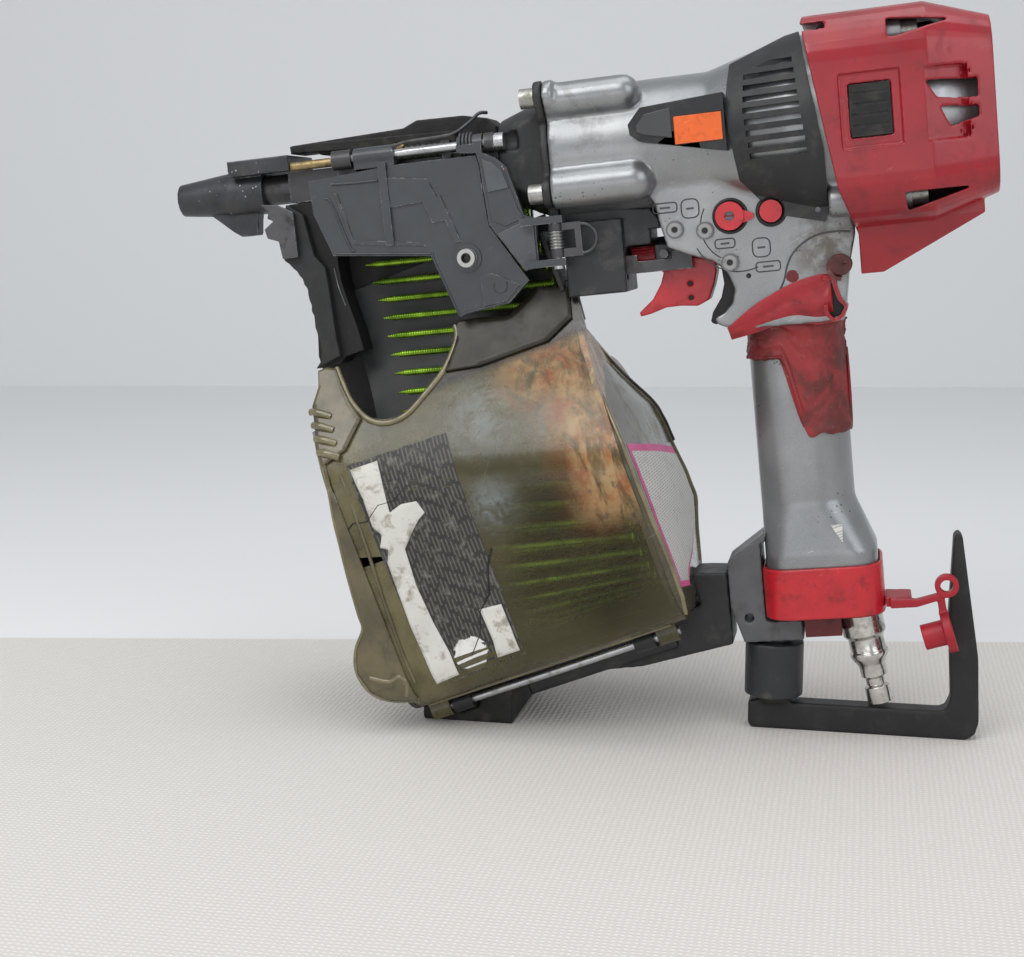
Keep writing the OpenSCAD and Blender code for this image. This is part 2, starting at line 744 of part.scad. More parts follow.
module magazine_cover() color([0.62, 0.55, 0.26, 0.6]) stand() magazine_axes() {
    difference() {
        union() {
            difference() {
                union() {
                    cross_plate(front_disc_u + 2.8, rear_disc_u) cover_near_profile();
                    // wall that runs with the nails, so square to the barrel
                    intersection() {
                        rotate([0, coil_angle, 0]) cross_plate(-170, 60) nail_wall();
                        block([front_disc_u + 2.8, -60, -150], [rear_disc_u, 20, -60]);
                    }
                }
                translate([0, 20, 0]) rotate([90, 0, 0]) linear_extrude(100) cover_window();
                // top front corner
                translate([0, 20, 0]) rotate([90, 0, 0]) linear_extrude(100)
                    polygon([[-160, -40], [-134, -40], [-134, -57], [-147, -80], [-160, -80]]);
            }
            // rear disc
            cross_plate(rear_disc_u - 2.6, rear_disc_u) {
                drum_outline(0);
                polygon([[-54.9, -150], [-45, -110], [-27.5, -76], [0, -90], [45, -112], [drum_y, -160]]);
            }
            for (u = [-148.5, -30]) {
                rod_x(u, u + 10, 4.4, hinge_y, -hinge_v);
                block([u, hinge_y - 4, -hinge_v], [u + 10, hinge_y - 0.4, -hinge_v + 7]);
            }
        }
        for (u = [-148.5, -30]) rod_x(u - 1, u + 11, 2 + fine, hinge_y, -hinge_v);
        // clear of the feeder housing
        rotate([0, coil_angle, 0]) block([0.5, -60, -66.6], [40, 60, 0]);
    }
}

module nail() {
    rotate([0, 90, 0]) rotate_extrude($fn = 20)
        polygon([[0, -nail_len], [0.3, -nail_len], [nail_d / 2, -nail_len + 6], [nail_d / 2, -1.4],
            [nail_head_d / 2, -1.4], [nail_head_d / 2, 0], [0, 0]]);
}

function wind_r(a) = 50.5 - 8.6 * a / 360;
// Winding angle of nail i, counted back from where the strip leaves the coil, just above the drum's middle
function wind_a(i) = i == 0 ? -11
    : let (a = wind_a(i - 1)) a + nail_pitch / wind_r(a) * 180 / PI;

module nail_coil() color("#6f8f3a") stand() magazine_axes() {
    for (i = [1:15]) {
        v = i * nail_pitch;
        translate([head_u, strip_y(v), -v]) rotate([0, coil_angle, 0]) nail();
    }
    for (i = [0:coil_nails - 1])
        translate([0, drum_y, -drum_v]) rotate([wind_a(i), 0, 0])
            translate([head_u, -wind_r(wind_a(i)) - 2.5, 0]) rotate([0, coil_angle, 0]) nail();
}

module support_arm() color("#1d1d1e") stand() {
    difference() {
        union() {
            magazine_axes() block([-104, -13.8, -240], [-26, 22, -224.4]);
            side_plate([[38, -213], [50, -203], [65.3, -204], [65.3, -239], [20, -248], [-4, -249], [10, -232]], -11, 15);
        }
        magazine_axes() block([-200, -60, -224.4], [-9.4, 80, 0]);
    }
}

module magazine_foot() color("#141414") difference() {
    upright() block([-61, -26, 0], [-16, 34, 24]);
    stand() magazine_axes() block([-170, -80, -224.4], [0, 90, 0]);
    stand() magazine_axes() block([-138.2, -40, -234.5], [-126.8, -13.5, -224]);
    stand() magazine_axes() block([-104.1, -40, -260], [0, 90, -220]);
    // ears of the cover swing here
    stand() magazine_axes() rod_x(-150, -138, 6, hinge_y, -hinge_v);
}

module nail_guard() color("#101010") stand() {
    difference() {
        side_plate([[-117.5, -9.5], [-132.5, -9.5], [-132.5, -13], [-136.5, -16], [-136, -30],
            [-134, -50], [-127, -70], [-125, -76], [-116, -76], [-117.5, -40]], -16, 14);
        block([-128, -12, -80], [-110, 10, -20]);
    }
}

module guard_claw() color("#8b8d90") stand() {
    side_plate([[-144, -7], [-140.5, -11], [-141.5, -14], [-138.6, -15.5], [-143.5, -19], [-142.5, -23.5],
        [-137, -25.5], [-136, -34], [-128, -34], [-128, -12], [-136, -8]], -18.2, -16.05);
}

module feed_cylinder() color("#3a3c40") stand() magazine_axes() {
    difference() {
        union() {
            block([feed_u - 10, 16, -54], [feed_u + 10, feed_y + 10, -16]);
            block([feed_u - 10, 9, -40], [feed_u + 10, 16.1, -30]);
        }
        rod_z(-50, -15, 7, feed_u, feed_y);
        block([feed_u - 3, 15, -28], [feed_u + 3, feed_y, -15]);
    }
}

module feed_piston() color("#c4c7ca") stand() magazine_axes() {
    rod_z(-49, -40, 7 - fine, feed_u, feed_y);
    rod_z(-40.1, -12, 2.5, feed_u, feed_y);
}

module feed_pawl() color("#8f9194") stand() magazine_axes() {
    difference() {
        union() {
            rod_z(-12.1, -7, 4.2, feed_u, feed_y);
            block([feed_u - 2, 4, -12.1], [feed_u + 2, feed_y - 2, -7]);
        }
        rod_z(-19, -11, 2.5, feed_u, feed_y);
    }
}

// ---- piston ---------------------------------------------------------------------------

module piston() color("#b4b7ba") stand() {
    difference() {
        rod_x(piston_x, piston_x + 10, cylinder_r - fine);
        rod_x(piston_x - 1, piston_x + 8, 4);
        for (x = [piston_x + 2, piston_x + 6.5]) difference() {
            rod_x(x, x + 2, cylinder_r + 1);
            rod_x(x - 1, x + 3, cylinder_r - 1.2);
        }
    }
}

module driver_blade() color("#a2a5a8") stand() {
    rod_x(-19, piston_x + 0.1, 2.5);
    rod_x(piston_x + 0.05, piston_x + 7.9, 3.98);
}

module head_valve() color("#6e7276") stand() {
    difference() {
        rod_x(158, 168, 36 - fine);
        rod_x(157, 169, 24 + fine);
    }
}

module head_valve_spring() color("#a9a9a5") stand() {
    spring_x(168.2, 189.8, 30, 1.8, 5);
}

// ---- grip, end cap and air plug ------------------------------------------------------------

module handle_sleeve(thick, z0, z1) {
    translate([105.5, 0, z0]) linear_extrude(z1 - z0) difference() {
        stadium(handle_depth + 2 * thick, handle_width + 2 * thick);
        stadium(handle_depth + 0.1, handle_width + 0.1);
    }
}

module grip_sleeve() color("#7b2a2c") stand() {
    handle_sleeve(2.2, -103, -88.1);
    intersection() {
        handle_sleeve(1.8, -141, -102.9);
        side_plate([[96, -102], [108, -118], [111, -141.5], [135, -141.5], [135, -102]], -30, 12);
    }
    // rolled edge behind the handle
    difference() {
        rod_y(-14, 14, 8, 134, -86);
        rod_y(-15, 15, 5.6, 134, -86);
        translate([105.5, 0, -120]) linear_extrude(60) stadium(handle_depth + 0.2, handle_width + 0.2);
        block([100, -25, -88.05], [133.2, 25, -70]);
        handle_sleeve(2.25, -103.1, -88);
    }
}

module end_ring() color("#c4202e") stand() {
    translate([110, 0, -226]) linear_extrude(24.5) difference() {
        round_rect(56, 49, 14);
        round_rect(52.2, 45.2, 12.1);
    }
}

module end_cap() color("#5c1519") stand() {
    difference() {
        union() {
            translate([110, 0, -223]) linear_extrude(17.9) round_rect(52, 45, 12);
            block([100, -16, -236], [117, 16, -222.9]);
        }
        translate([124.5, 0, -222]) rotate([0, -8.5, 0]) {
            rod_z(-8, 30, 8);
            rod_z(-30, -1.9, 10.6);
        }
        block([95, -12, -212], [130, 12, -200]);
    }
}

module air_plug() color("#d5d8da") stand() translate([124.5, 0, -222]) rotate([0, -8.5, 0]) {
    difference() {
        rotate_extrude() polygon([[0, 6], [7.9, 6], [7.9, -2.2], [10.2, -2.6], [10.2, -17], [8.4, -19],
            [8.4, -25], [9, -26], [9, -28], [6.2, -33], [6.2, -38], [4.6, -39.2], [4.6, -42.5],
            [6, -43.5], [6, -51.5], [0, -51.5]]);
        rod_z(-53, 8, 3);
    }
}

module plug_strap() color("#c21f2c") stand() {
    side_plate([[138.1, -219], [138.1, -223.4], [150, -223.4], [150, -219.6]], -16, 3.5);
    translate([0, -17.4, 0]) {
        side_plate([[140, -219.2], [140, -223.4], [152, -223.4], [163, -220.6], [163, -217.6], [152, -220]], -2.5, 2.6);
        difference() {
            rod_y(-2.5, 2.5, 5.4, 166, -214.4);
            rod_y(-4, 4, 2.9, 166, -214.4);
        }
        side_plate([[161, -218], [164.5, -217.5], [165.5, -229], [162, -229]], -2, 2);
        translate([165.5, 0, -236]) rotate([0, 78, 0]) {
            rod_z(-2, 2, 10);
            rod_z(-12, -1.9, 6);
        }
    }
}

// ---- belt hook ------------------------------------------------------------------------------

module hook_bracket() color("#6d7177") stand() {
    difference() {
        side_plate([[86.4, -184], [66, -198], [65.5, -203.5], [65.5, -220], [70.7, -238], [99, -238],
            [99, -228.2], [84, -228.2], [84, -190]], -13, 13);
        handle_flare();
        block([81.9, -25, -228.1], [140, 25, -190]);
        translate([105.5, 0, -190]) linear_extrude(30) stadium(handle_depth + 0.1, handle_width + 0.1);
        rod_y(-14, 14, 2.2, 74, -226);
    }
}

module hook_post() color("#35373a") difference() {
    union() {
        upright() rod_z(16.5, 43, 14, post_x, 0);
        upright() rod_z(42.9, 50, 8.5, post_x, 0);
    }
    stand() block([60, -30, -238.1], [130, 30, -200]);
    upright() rod_z(10, 38, 5 + fine, post_x, 0);
}

module belt_hook() color("#131415") upright() {
    translate([0, 6, 0]) rotate([90, 0, 0]) linear_extrude(12)
        polygon([[97, 13.4], [97, 2], [99, 0], [200, 0], [204, 3], [205.5, 9], [204, 40], [194.5, 98],
            [192.5, 100], [190.5, 98], [189.5, 60], [192, 20], [190, 14.5], [187, 13.4]]);
    rod_z(13.3, 37, 5, post_x, 0);
    rod_z(13.3, 16.2, 9, post_x, 0);
}

body_housing();
nose_flange();
flange_bolts();
nose_guide();
top_cover();
door_hinge_rod();
cylinder_sleeve();
bumper();
cylinder_cap();
cap_bolts();
rear_cover();
side_pads();
louvre_cover_near();
louvre_cover_far();
side_panel_near();
side_panel_far();
blank_badges();
web_screws();
trigger_pin();
trigger_valve_body();
arm_guide();
feed_cylinder();
grip_sleeve();
end_ring();
end_cap();
air_plug();
plug_strap();
hook_bracket();
hook_post();
magazine_base();
coil_tray();
support_arm();
magazine_foot();
nail_guard();
guard_claw();
cover_hinge_pin();
nail_coil();
door();
door_arm();
door_screw();
latch_pin();
latch_spring();
latch_lever();
magazine_cover();
contact_foot();
contact_arm();
contact_rod();
contact_spring();
depth_dial();
trigger();
valve_stem();
mode_knob();
duster_button();
belt_hook();
piston();
driver_blade();
head_valve();
head_valve_spring();
feed_piston();
feed_pawl();
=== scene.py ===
"""Looks for the coil nailer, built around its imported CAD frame.

Units are metres in the frame's own axes. Places on the tool are written in
millimetres along the tool's axes (barrel, sideways, up) or the magazine's, and
at() and mag() turn them into the frame.
"""

import json
import math

import bmesh
import bpy
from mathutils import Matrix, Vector, noise


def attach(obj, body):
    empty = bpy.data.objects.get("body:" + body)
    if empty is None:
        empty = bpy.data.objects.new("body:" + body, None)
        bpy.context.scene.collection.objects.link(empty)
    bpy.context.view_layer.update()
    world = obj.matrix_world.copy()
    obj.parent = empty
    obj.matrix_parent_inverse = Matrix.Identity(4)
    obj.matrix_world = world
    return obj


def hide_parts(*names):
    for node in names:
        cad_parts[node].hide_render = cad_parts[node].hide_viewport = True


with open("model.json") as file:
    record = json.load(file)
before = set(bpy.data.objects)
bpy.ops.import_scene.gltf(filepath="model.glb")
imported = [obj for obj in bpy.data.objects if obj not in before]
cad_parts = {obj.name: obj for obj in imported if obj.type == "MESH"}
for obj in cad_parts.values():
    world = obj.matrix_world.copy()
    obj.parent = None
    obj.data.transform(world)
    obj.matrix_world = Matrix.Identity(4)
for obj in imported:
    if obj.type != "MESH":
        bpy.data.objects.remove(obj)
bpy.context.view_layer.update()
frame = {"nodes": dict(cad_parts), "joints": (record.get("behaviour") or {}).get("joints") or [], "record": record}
NODES = frame["nodes"]
JOINTS = {j["name"]: j for j in frame["joints"]}
MM = 0.001
TAU = 2 * math.pi

# ---- the tool's own axes, taken from the frame's joints -----------------------

BARREL = Vector(JOINTS["contact_press"]["axis"]).normalized()
UP = Vector(JOINTS["valve_stem_lift"]["axis"]).normalized()
SIDE = Vector((0, 1, 0))
DIAL = Vector(JOINTS["dial_spin"]["pos_m"])
ORIGIN = DIAL - BARREL * 38 * MM + UP * 51.5 * MM
DRUM = Vector(JOINTS["cover_hinge"]["axis"]).normalized()
DRUM_UP = Vector(JOINTS["feed_stroke"]["axis"]).normalized()


def at(x, y, z):
    """A point in the tool's axes, mm, as a point in the frame."""
    return ORIGIN + (BARREL * x + SIDE * y + UP * z) * MM


def mag(u, y, w):
    """A point in the magazine's axes, mm, as a point in the frame."""
    return ORIGIN + (DRUM * u + SIDE * y + DRUM_UP * w) * MM


# ---- shader building ------------------------------------------------------------


class Shader:
    """One node material with a Principled shader, and short calls for the nodes it needs."""

    def __init__(self, name):
        self.material = bpy.data.materials.new(name)
        self.material.use_nodes = True
        self.tree = self.material.node_tree
        self.tree.nodes.clear()
        self.out = self.tree.nodes.new("ShaderNodeOutputMaterial")
        self.bsdf = self.tree.nodes.new("ShaderNodeBsdfPrincipled")
        self.tree.links.new(self.bsdf.outputs[0], self.out.inputs[0])
        self.place = self.tree.nodes.new("ShaderNodeTexCoord").outputs["Object"]
        self.height = None

    def add(self, kind, values=None, **settings):
        made = self.tree.nodes.new(kind)
        for key, value in settings.items():
            setattr(made, key, value)
        for key, value in (values or {}).items():
            self.put(made.inputs[key], value)
        return made

    def put(self, socket, value):
        if isinstance(value, bpy.types.NodeSocket):
            self.tree.links.new(value, socket)
        elif hasattr(
            socket.default_value, "__len__"
        ) and len(value) == 3 and len(socket.default_value) == 4:
            socket.default_value = (*value, 1)
        else:
            socket.default_value = value

    def math(self, operation, a, b=0.5, clamp=False):
        return self.add(
            "ShaderNodeMath", {0: a, 1: b}, operation=operation, use_clamp=clamp
        ).outputs[0]

    def times(self, a, b):
        return self.math("MULTIPLY", a, b)

    def most(self, a, b):
        return self.math("MAXIMUM", a, b)

    def plus(self, a, b):
        return self.math("ADD", a, b)

    def flip(self, value):
        return self.math("SUBTRACT", 1.0, value)

    def vector(self, operation, a, b):
        """The number that a vector operation gives."""
        return self.add("ShaderNodeVectorMath", {0: a, 1: b}, operation=operation).outputs["Value"]

    def noise(self, scale, detail=4, roughness=0.55, distortion=0.0, place=None):
        made = self.add(
            "ShaderNodeTexNoise", {"Vector": place or self.place, "Scale": scale, "Detail": detail,
                "Roughness": roughness, "Distortion": distortion}
        )
        return made.outputs["Fac"]

    def cells(self, scale, feature="F1", place=None, randomness=1.0):
        made = self.add(
            "ShaderNodeTexVoronoi", {"Vector": place or self.place, "Scale": scale,
                "Randomness": randomness}, feature=feature
        )
        return made.outputs["Distance"]

    def stretch(self, direction, along=0.1, across=1.0):
        """Coordinates squeezed along one direction, for scratches and brushing."""
        d = Vector(direction).normalized()
        turn = d.rotation_difference(Vector((1, 0, 0))).to_euler()
        turned = self.add("ShaderNodeMapping", {"Vector": self.place, "Rotation": turn})
        return self.add(
            "ShaderNodeMapping", {"Vector": turned.outputs[0], "Scale": (along, across, across)}
        ).outputs[0]

    def near(self, point, inner, outer):
        """1 within inner metres of a point, falling to 0 at outer."""
        gap = self.vector("DISTANCE", self.place, tuple(point))
        return self.add(
            "ShaderNodeMapRange", {"Value": gap, "From Min": inner, "From Max": outer,
                "To Min": 1.0, "To Max": 0.0}, interpolation_type="SMOOTHSTEP"
        ).outputs[0]

    def band(self, direction, a, b, edge=0.006):
        """1 between two distances (mm) from the origin along a direction, soft over edge (m)."""
        d = Vector(direction)
        base = ORIGIN.dot(d)
        dot = self.vector("DOT_PRODUCT", self.place, tuple(d))
        low = self.step(dot, base + min(a, b) * MM - edge, base + min(a, b) * MM + edge)
        high = self.step(dot, base + max(a, b) * MM - edge, base + max(a, b) * MM + edge)
        return self.math("SUBTRACT", low, high, clamp=True)

    def step(self, value, low, high):
        """0 below low, 1 above high."""
        return self.add(
            "ShaderNodeMapRange", {"Value": value, "From Min": low, "From Max": high},
            interpolation_type="SMOOTHSTEP"
        ).outputs[0]

    def blend(self, factor, a, b, mode="MIX"):
        made = self.add("ShaderNodeMix", {0: factor}, data_type="RGBA", blend_type=mode)
        self.put(made.inputs[6], a if isinstance(a, bpy.types.NodeSocket) else (*a[:3], 1))
        self.put(made.inputs[7], b if isinstance(b, bpy.types.NodeSocket) else (*b[:3], 1))
        return made.outputs[2]

    def mix(self, factor, a, b):
        made = self.add("ShaderNodeMix", {0: factor, 2: a, 3: b}, data_type="FLOAT")
        return made.outputs[0]

    def edges(self, width):
        """1 on edges that hands and benches rub, 0 on flats."""
        rounded = self.add("ShaderNodeBevel", {"Radius": width}, samples=4).outputs[0]
        normal = self.add("ShaderNodeNewGeometry").outputs["Normal"]
        dot = self.vector("DOT_PRODUCT", rounded, normal)
        return self.step(self.flip(dot), 0.01, 0.16)

    def bump(self, height, strength, distance=0.0004):
        values = {"Height": height, "Strength": strength, "Distance": distance}
        if self.height is not None:
            values["Normal"] = self.height
        self.height = self.add("ShaderNodeBump", values).outputs[0]
        self.tree.links.new(self.height, self.bsdf.inputs["Normal"])

    def done(self, color, roughness, metallic=0.0):
        self.put(self.bsdf.inputs["Base Color"], color)
        self.put(self.bsdf.inputs["Roughness"], roughness)
        self.put(self.bsdf.inputs["Metallic"], metallic)
        return self.material


def surface(
    name, color, rough, metallic=0.0, vary=0.12, vary_scale=55, grain=0.06, grain_scale=1400,
    worn=None, worn_width=0.8, worn_amount=0.7, worn_metal=0.9, worn_rough=0.3, dirt=None,
    dirt_amount=0.5, dirt_scale=70, scratch=0.25, scratch_dir=(0.8, 0.1, 0.5), chips=0.0,
    chip_color=None, specular=0.5, coat=0.0
):
    """Paint, moulding or metal: tint drift, grain, scratches, rubbed edges, chips and dirt."""
    s = Shader(name)
    drift = s.noise(vary_scale, 5, 0.6)
    shade = s.blend(
        s.step(drift, 0.3, 0.7), [c * (1 - vary) for c in color],
        [min(1, c * (1 + vary)) for c in color]
    )
    roughness = s.mix(s.noise(vary_scale * 2.3, 3), rough * 0.8, min(1.0, rough * 1.25))
    metal = metallic
    if scratch:
        lines = s.noise(900, 3, 0.7, place=s.stretch(scratch_dir, 0.045))
        cross = s.noise(1100, 3, 0.7, place=s.stretch((-0.3, 0.2, 0.9), 0.05))
        marks = s.times(
            s.most(s.step(lines, 0.66, 0.72), s.step(cross, 0.68, 0.74)),
            s.step(s.noise(40, 2), 0.45, 0.62)
        )
        shade = s.blend(s.times(marks, scratch), shade, [min(1, c * 1.5 + 0.12) for c in color])
        roughness = s.mix(s.times(marks, scratch), roughness, 0.55)
        s.bump(marks, scratch * 0.4, 0.0001)
    if dirt is not None:
        cloud = s.times(s.step(s.noise(dirt_scale, 7, 0.7, 0.4), 0.5, 0.68), dirt_amount)
        shade = s.blend(cloud, shade, dirt)
        roughness = s.mix(cloud, roughness, 0.8)
    if worn is not None:
        rub = s.times(
            s.edges(worn_width * MM), s.step(s.noise(260, 6, 0.7), 0.62 - worn_amount * 0.35, 0.68)
        )
        shade = s.blend(rub, shade, worn)
        roughness = s.mix(rub, roughness, worn_rough)
        metal = s.mix(rub, metallic, worn_metal)
    if chips:
        spots = s.math("LESS_THAN", s.cells(310), s.times(s.step(s.noise(35, 3), 0.5, 0.75), chips))
        shade = s.blend(spots, shade, chip_color or (0.05, 0.05, 0.05))
        s.bump(s.flip(spots), 0.3, 0.0001)
    if grain:
        s.bump(s.noise(grain_scale, 3, 0.6), grain, 0.0003)
    if coat:
        s.bsdf.inputs["Coat Weight"].default_value = coat
        s.bsdf.inputs["Coat Roughness"].default_value = 0.12
    s.bsdf.inputs["Specular IOR Level"].default_value = specular
    return s.done(shade, roughness, metal)


STEEL = (0.55, 0.55, 0.54)
DUST = (0.30, 0.28, 0.25)


def silver_casting():
    """Silver paint with dark speckles, grime by the joints and brown dirt behind the web."""
    s = Shader("silver_casting")
    base = s.blend(s.step(s.noise(26, 5), 0.3, 0.7), (0.235, 0.245, 0.255), (0.33, 0.34, 0.35))
    flake = s.step(s.noise(2600, 2, 0.6), 0.4, 0.7)
    base = s.blend(s.times(flake, 0.25), base, (0.45, 0.46, 0.48))
    edge = s.edges(1.4 * MM)
    speck = s.math(
        "LESS_THAN", s.cells(430), s.times(s.plus(s.step(s.noise(60, 4), 0.5, 0.7), edge), 0.24)
    )
    rub = s.times(edge, s.step(s.noise(240, 6, 0.7), 0.44, 0.6))
    base = s.blend(s.times(rub, 0.8), base, (0.20, 0.20, 0.20))
    base = s.blend(s.times(speck, 0.85), base, (0.055, 0.055, 0.06))
    lines = s.step(s.noise(800, 3, 0.7, place=s.stretch((0.8, 0, 0.45), 0.05)), 0.66, 0.72)
    base = s.blend(s.times(lines, 0.35), base, (0.72, 0.73, 0.74))
    grime = s.times(s.near(at(124, -20, -56), 0.003, 0.024), s.step(s.noise(95, 6, 0.7), 0.36, 0.6))
    base = s.blend(s.times(grime, 0.8), base, (0.085, 0.062, 0.035))
    spot = s.step(
        s.plus(s.near(at(107.5, -24, -66), 0.0015, 0.006), s.times(s.noise(400, 3), 0.5)), 0.95, 1.1
    )
    base = s.blend(spot, base, (0.14, 0.02, 0.02))
    soot = s.times(s.near(at(10, -20, 22), 0.006, 0.05), s.step(s.noise(70, 6, 0.7), 0.5, 0.66))
    base = s.blend(s.times(soot, 0.55), base, (0.10, 0.10, 0.085))
    rough = s.mix(s.noise(60, 4), 0.26, 0.42)
    rough = s.mix(grime, rough, 0.85)
    metal = s.mix(s.most(speck, grime), 0.72, 0.0)
    s.bump(s.noise(520, 4, 0.6), 0.10, 0.0003)
    s.bump(s.noise(70, 3, 0.5), 0.12, 0.0008)
    s.bsdf.inputs["Coat Weight"].default_value = 0.25
    s.bsdf.inputs["Coat Roughness"].default_value = 0.22
    return s.done(base, rough, metal)


def red_rubber():
    """Old grip band: dark and bright red patches, grime and fine wrinkles."""
    s = Shader("red_rubber")
    base = s.blend(
        s.step(s.noise(48, 6, 0.65, 0.5), 0.36, 0.64), (0.11, 0.018, 0.016), (0.30, 0.022, 0.026)
    )
    base = s.blend(s.step(s.noise(120, 5, 0.7, 0.8), 0.58, 0.72), base, (0.05, 0.018, 0.015))
    base = s.blend(s.times(s.step(s.noise(300, 4, 0.7), 0.62, 0.74), 0.5), base, (0.42, 0.17, 0.15))
    s.bump(s.noise(210, 5, 0.65, 1.2), 0.55, 0.0008)
    s.bump(s.noise(1500, 3, 0.6), 0.25, 0.0002)
    return s.done(base, s.mix(s.noise(80, 4), 0.34, 0.7))


def smoke_plastic():
    """Smoke-yellow moulding: sooty neck, rusty rear edge, scuffs, a painted pale highlight, clearest low down."""
    s = Shader("smoke_plastic")
    base = s.blend(s.step(s.noise(22, 4), 0.3, 0.7), (0.052, 0.044, 0.013), (0.098, 0.083, 0.029))
    scuffs = s.noise(420, 5, 0.72, 0.6, place=s.stretch((0.2, 0.1, 1.0), 0.12))
    lines = s.times(s.step(scuffs, 0.58, 0.72), 0.35)
    base = s.blend(lines, base, (0.30, 0.28, 0.18))
    drips = s.noise(150, 6, 0.7, 0.5, place=s.stretch(DRUM_UP, 0.22))
    left = s.times(s.band(DRUM, -170, -128, 0.007), s.step(s.noise(60, 5), 0.3, 0.6))
    base = s.blend(s.times(left, 0.6), base, (0.22, 0.19, 0.09))
    clear = s.near(mag(-44, -52, -176), 0.022, 0.060)
    # painted highlight: soft pale blue-grey spots on the near wall stand in for a reflected light
    painted_highlight = s.most(
        s.near(mag(-70, -26, -110), 0.006, 0.034), s.most(s.near(mag(-40, -34, -121), 0.003,
            0.022), s.near(mag(-76, -48, -142), 0.003, 0.020))
    )
    painted_highlight = s.times(painted_highlight, s.step(s.noise(110, 7, 0.75, 0.9), 0.36, 0.60))
    base = s.blend(s.times(painted_highlight, 0.85), base, (0.27, 0.31, 0.31))
    edge = s.times(s.band(DRUM, -40, 10, 0.014), s.band(DRUM_UP, -72, -168, 0.012))
    stain = s.times(
        s.most(edge, s.near(mag(-38, -28, -92), 0.008, 0.030)), s.step(drips, 0.30, 0.56)
    )
    base = s.blend(
        s.times(stain, 0.9), base, s.blend(s.step(s.noise(70, 6, 0.7), 0.35, 0.62),
            (0.30, 0.075, 0.010), (0.40, 0.25, 0.10))
    )
    blots = s.times(s.step(s.noise(130, 5, 0.6), 0.62, 0.68), s.band(DRUM, -50, 0, 0.01))
    base = s.blend(s.times(blots, 0.75), base, (0.07, 0.055, 0.045))
    soot = s.step(s.plus(s.band(DRUM_UP, -84, -30, 0.012), s.times(drips, 0.5)), 0.72, 1.02)
    base = s.blend(s.times(soot, 0.96), base, (0.012, 0.011, 0.009))
    alpha = s.mix(clear, s.mix(s.noise(30, 4), 0.72, 0.88), 0.22)
    alpha = s.most(alpha, s.times(s.most(stain, soot), 0.96))
    # the painted highlight is made nearly opaque
    alpha = s.most(alpha, s.times(painted_highlight, 0.92))
    rim = s.add("ShaderNodeLayerWeight", {"Blend": 0.2}).outputs["Facing"]
    alpha = s.math("MAXIMUM", alpha, rim, clamp=True)
    s.put(s.bsdf.inputs["Alpha"], alpha)
    s.bsdf.inputs["IOR"].default_value = 1.5
    s.bsdf.inputs["Coat Weight"].default_value = 0.3
    s.bsdf.inputs["Coat Roughness"].default_value = 0.08
    s.bump(scuffs, 0.10, 0.0002)
    s.bump(s.noise(24, 4, 0.5), 0.22, 0.004)
    return s.done(base, s.mix(s.noise(90, 5), 0.16, 0.38))


def green_nails():
    """Green lacquered wire with its ring-shank lines and darker, oily patches."""
    s = Shader("green_nails")
    base = s.blend(s.step(s.noise(70, 5), 0.35, 0.65), (0.10, 0.20, 0.015), (0.36, 0.62, 0.05))
    rings = s.add(
        "ShaderNodeTexWave", {"Vector": s.place, "Scale": 260, "Distortion": 0.4},
        bands_direction="X"
    ).outputs["Fac"]
    base = s.blend(s.times(rings, 0.35), base, (0.05, 0.09, 0.01))
    s.bump(rings, 0.3, 0.0002)
    return s.done(base, s.mix(s.noise(300, 3), 0.2, 0.36), 0.85)


def decal_face(
    name, ground, bars, bar_scale, peel=(), peel_color=(0.78, 0.78, 0.76), rows=(1, 0, 0),
    up=(0, 0, 1)
):
    """A worn generic label: plain bars where print would be, no lettering, and peeled patches."""
    s = Shader(name)
    u = s.vector("DOT_PRODUCT", s.place, tuple(rows))
    v = s.vector("DOT_PRODUCT", s.place, tuple(up))
    row = s.times(v, bar_scale)
    line = s.math("GREATER_THAN", s.math("FRACT", row), 0.62)
    lot = s.add(
        "ShaderNodeTexWhiteNoise", {"W": s.math("FLOOR", row)}, noise_dimensions="1D"
    ).outputs["Value"]
    cell = s.plus(s.times(u, bar_scale * 0.22), s.times(lot, 7.0))
    blank = s.math("GREATER_THAN", s.math("FRACT", cell), 0.24)
    bar = s.times(line, blank)
    shade = s.blend(s.times(bar, 0.9), ground, bars)
    rough = 0.45
    for point, reach in peel:
        gone = s.step(
            s.plus(s.near(mag(*point), 0.0, reach), s.times(s.noise(120, 6, 0.72, 0.6), 0.9)),
            0.86, 0.90
        )
        shade = s.blend(gone, shade, peel_color)
    shade = s.blend(s.times(s.step(s.noise(160, 6, 0.7), 0.5, 0.7), 0.4), shade, DUST)
    s.bump(s.noise(320, 4), 0.12, 0.0002)
    return s.done(shade, rough)


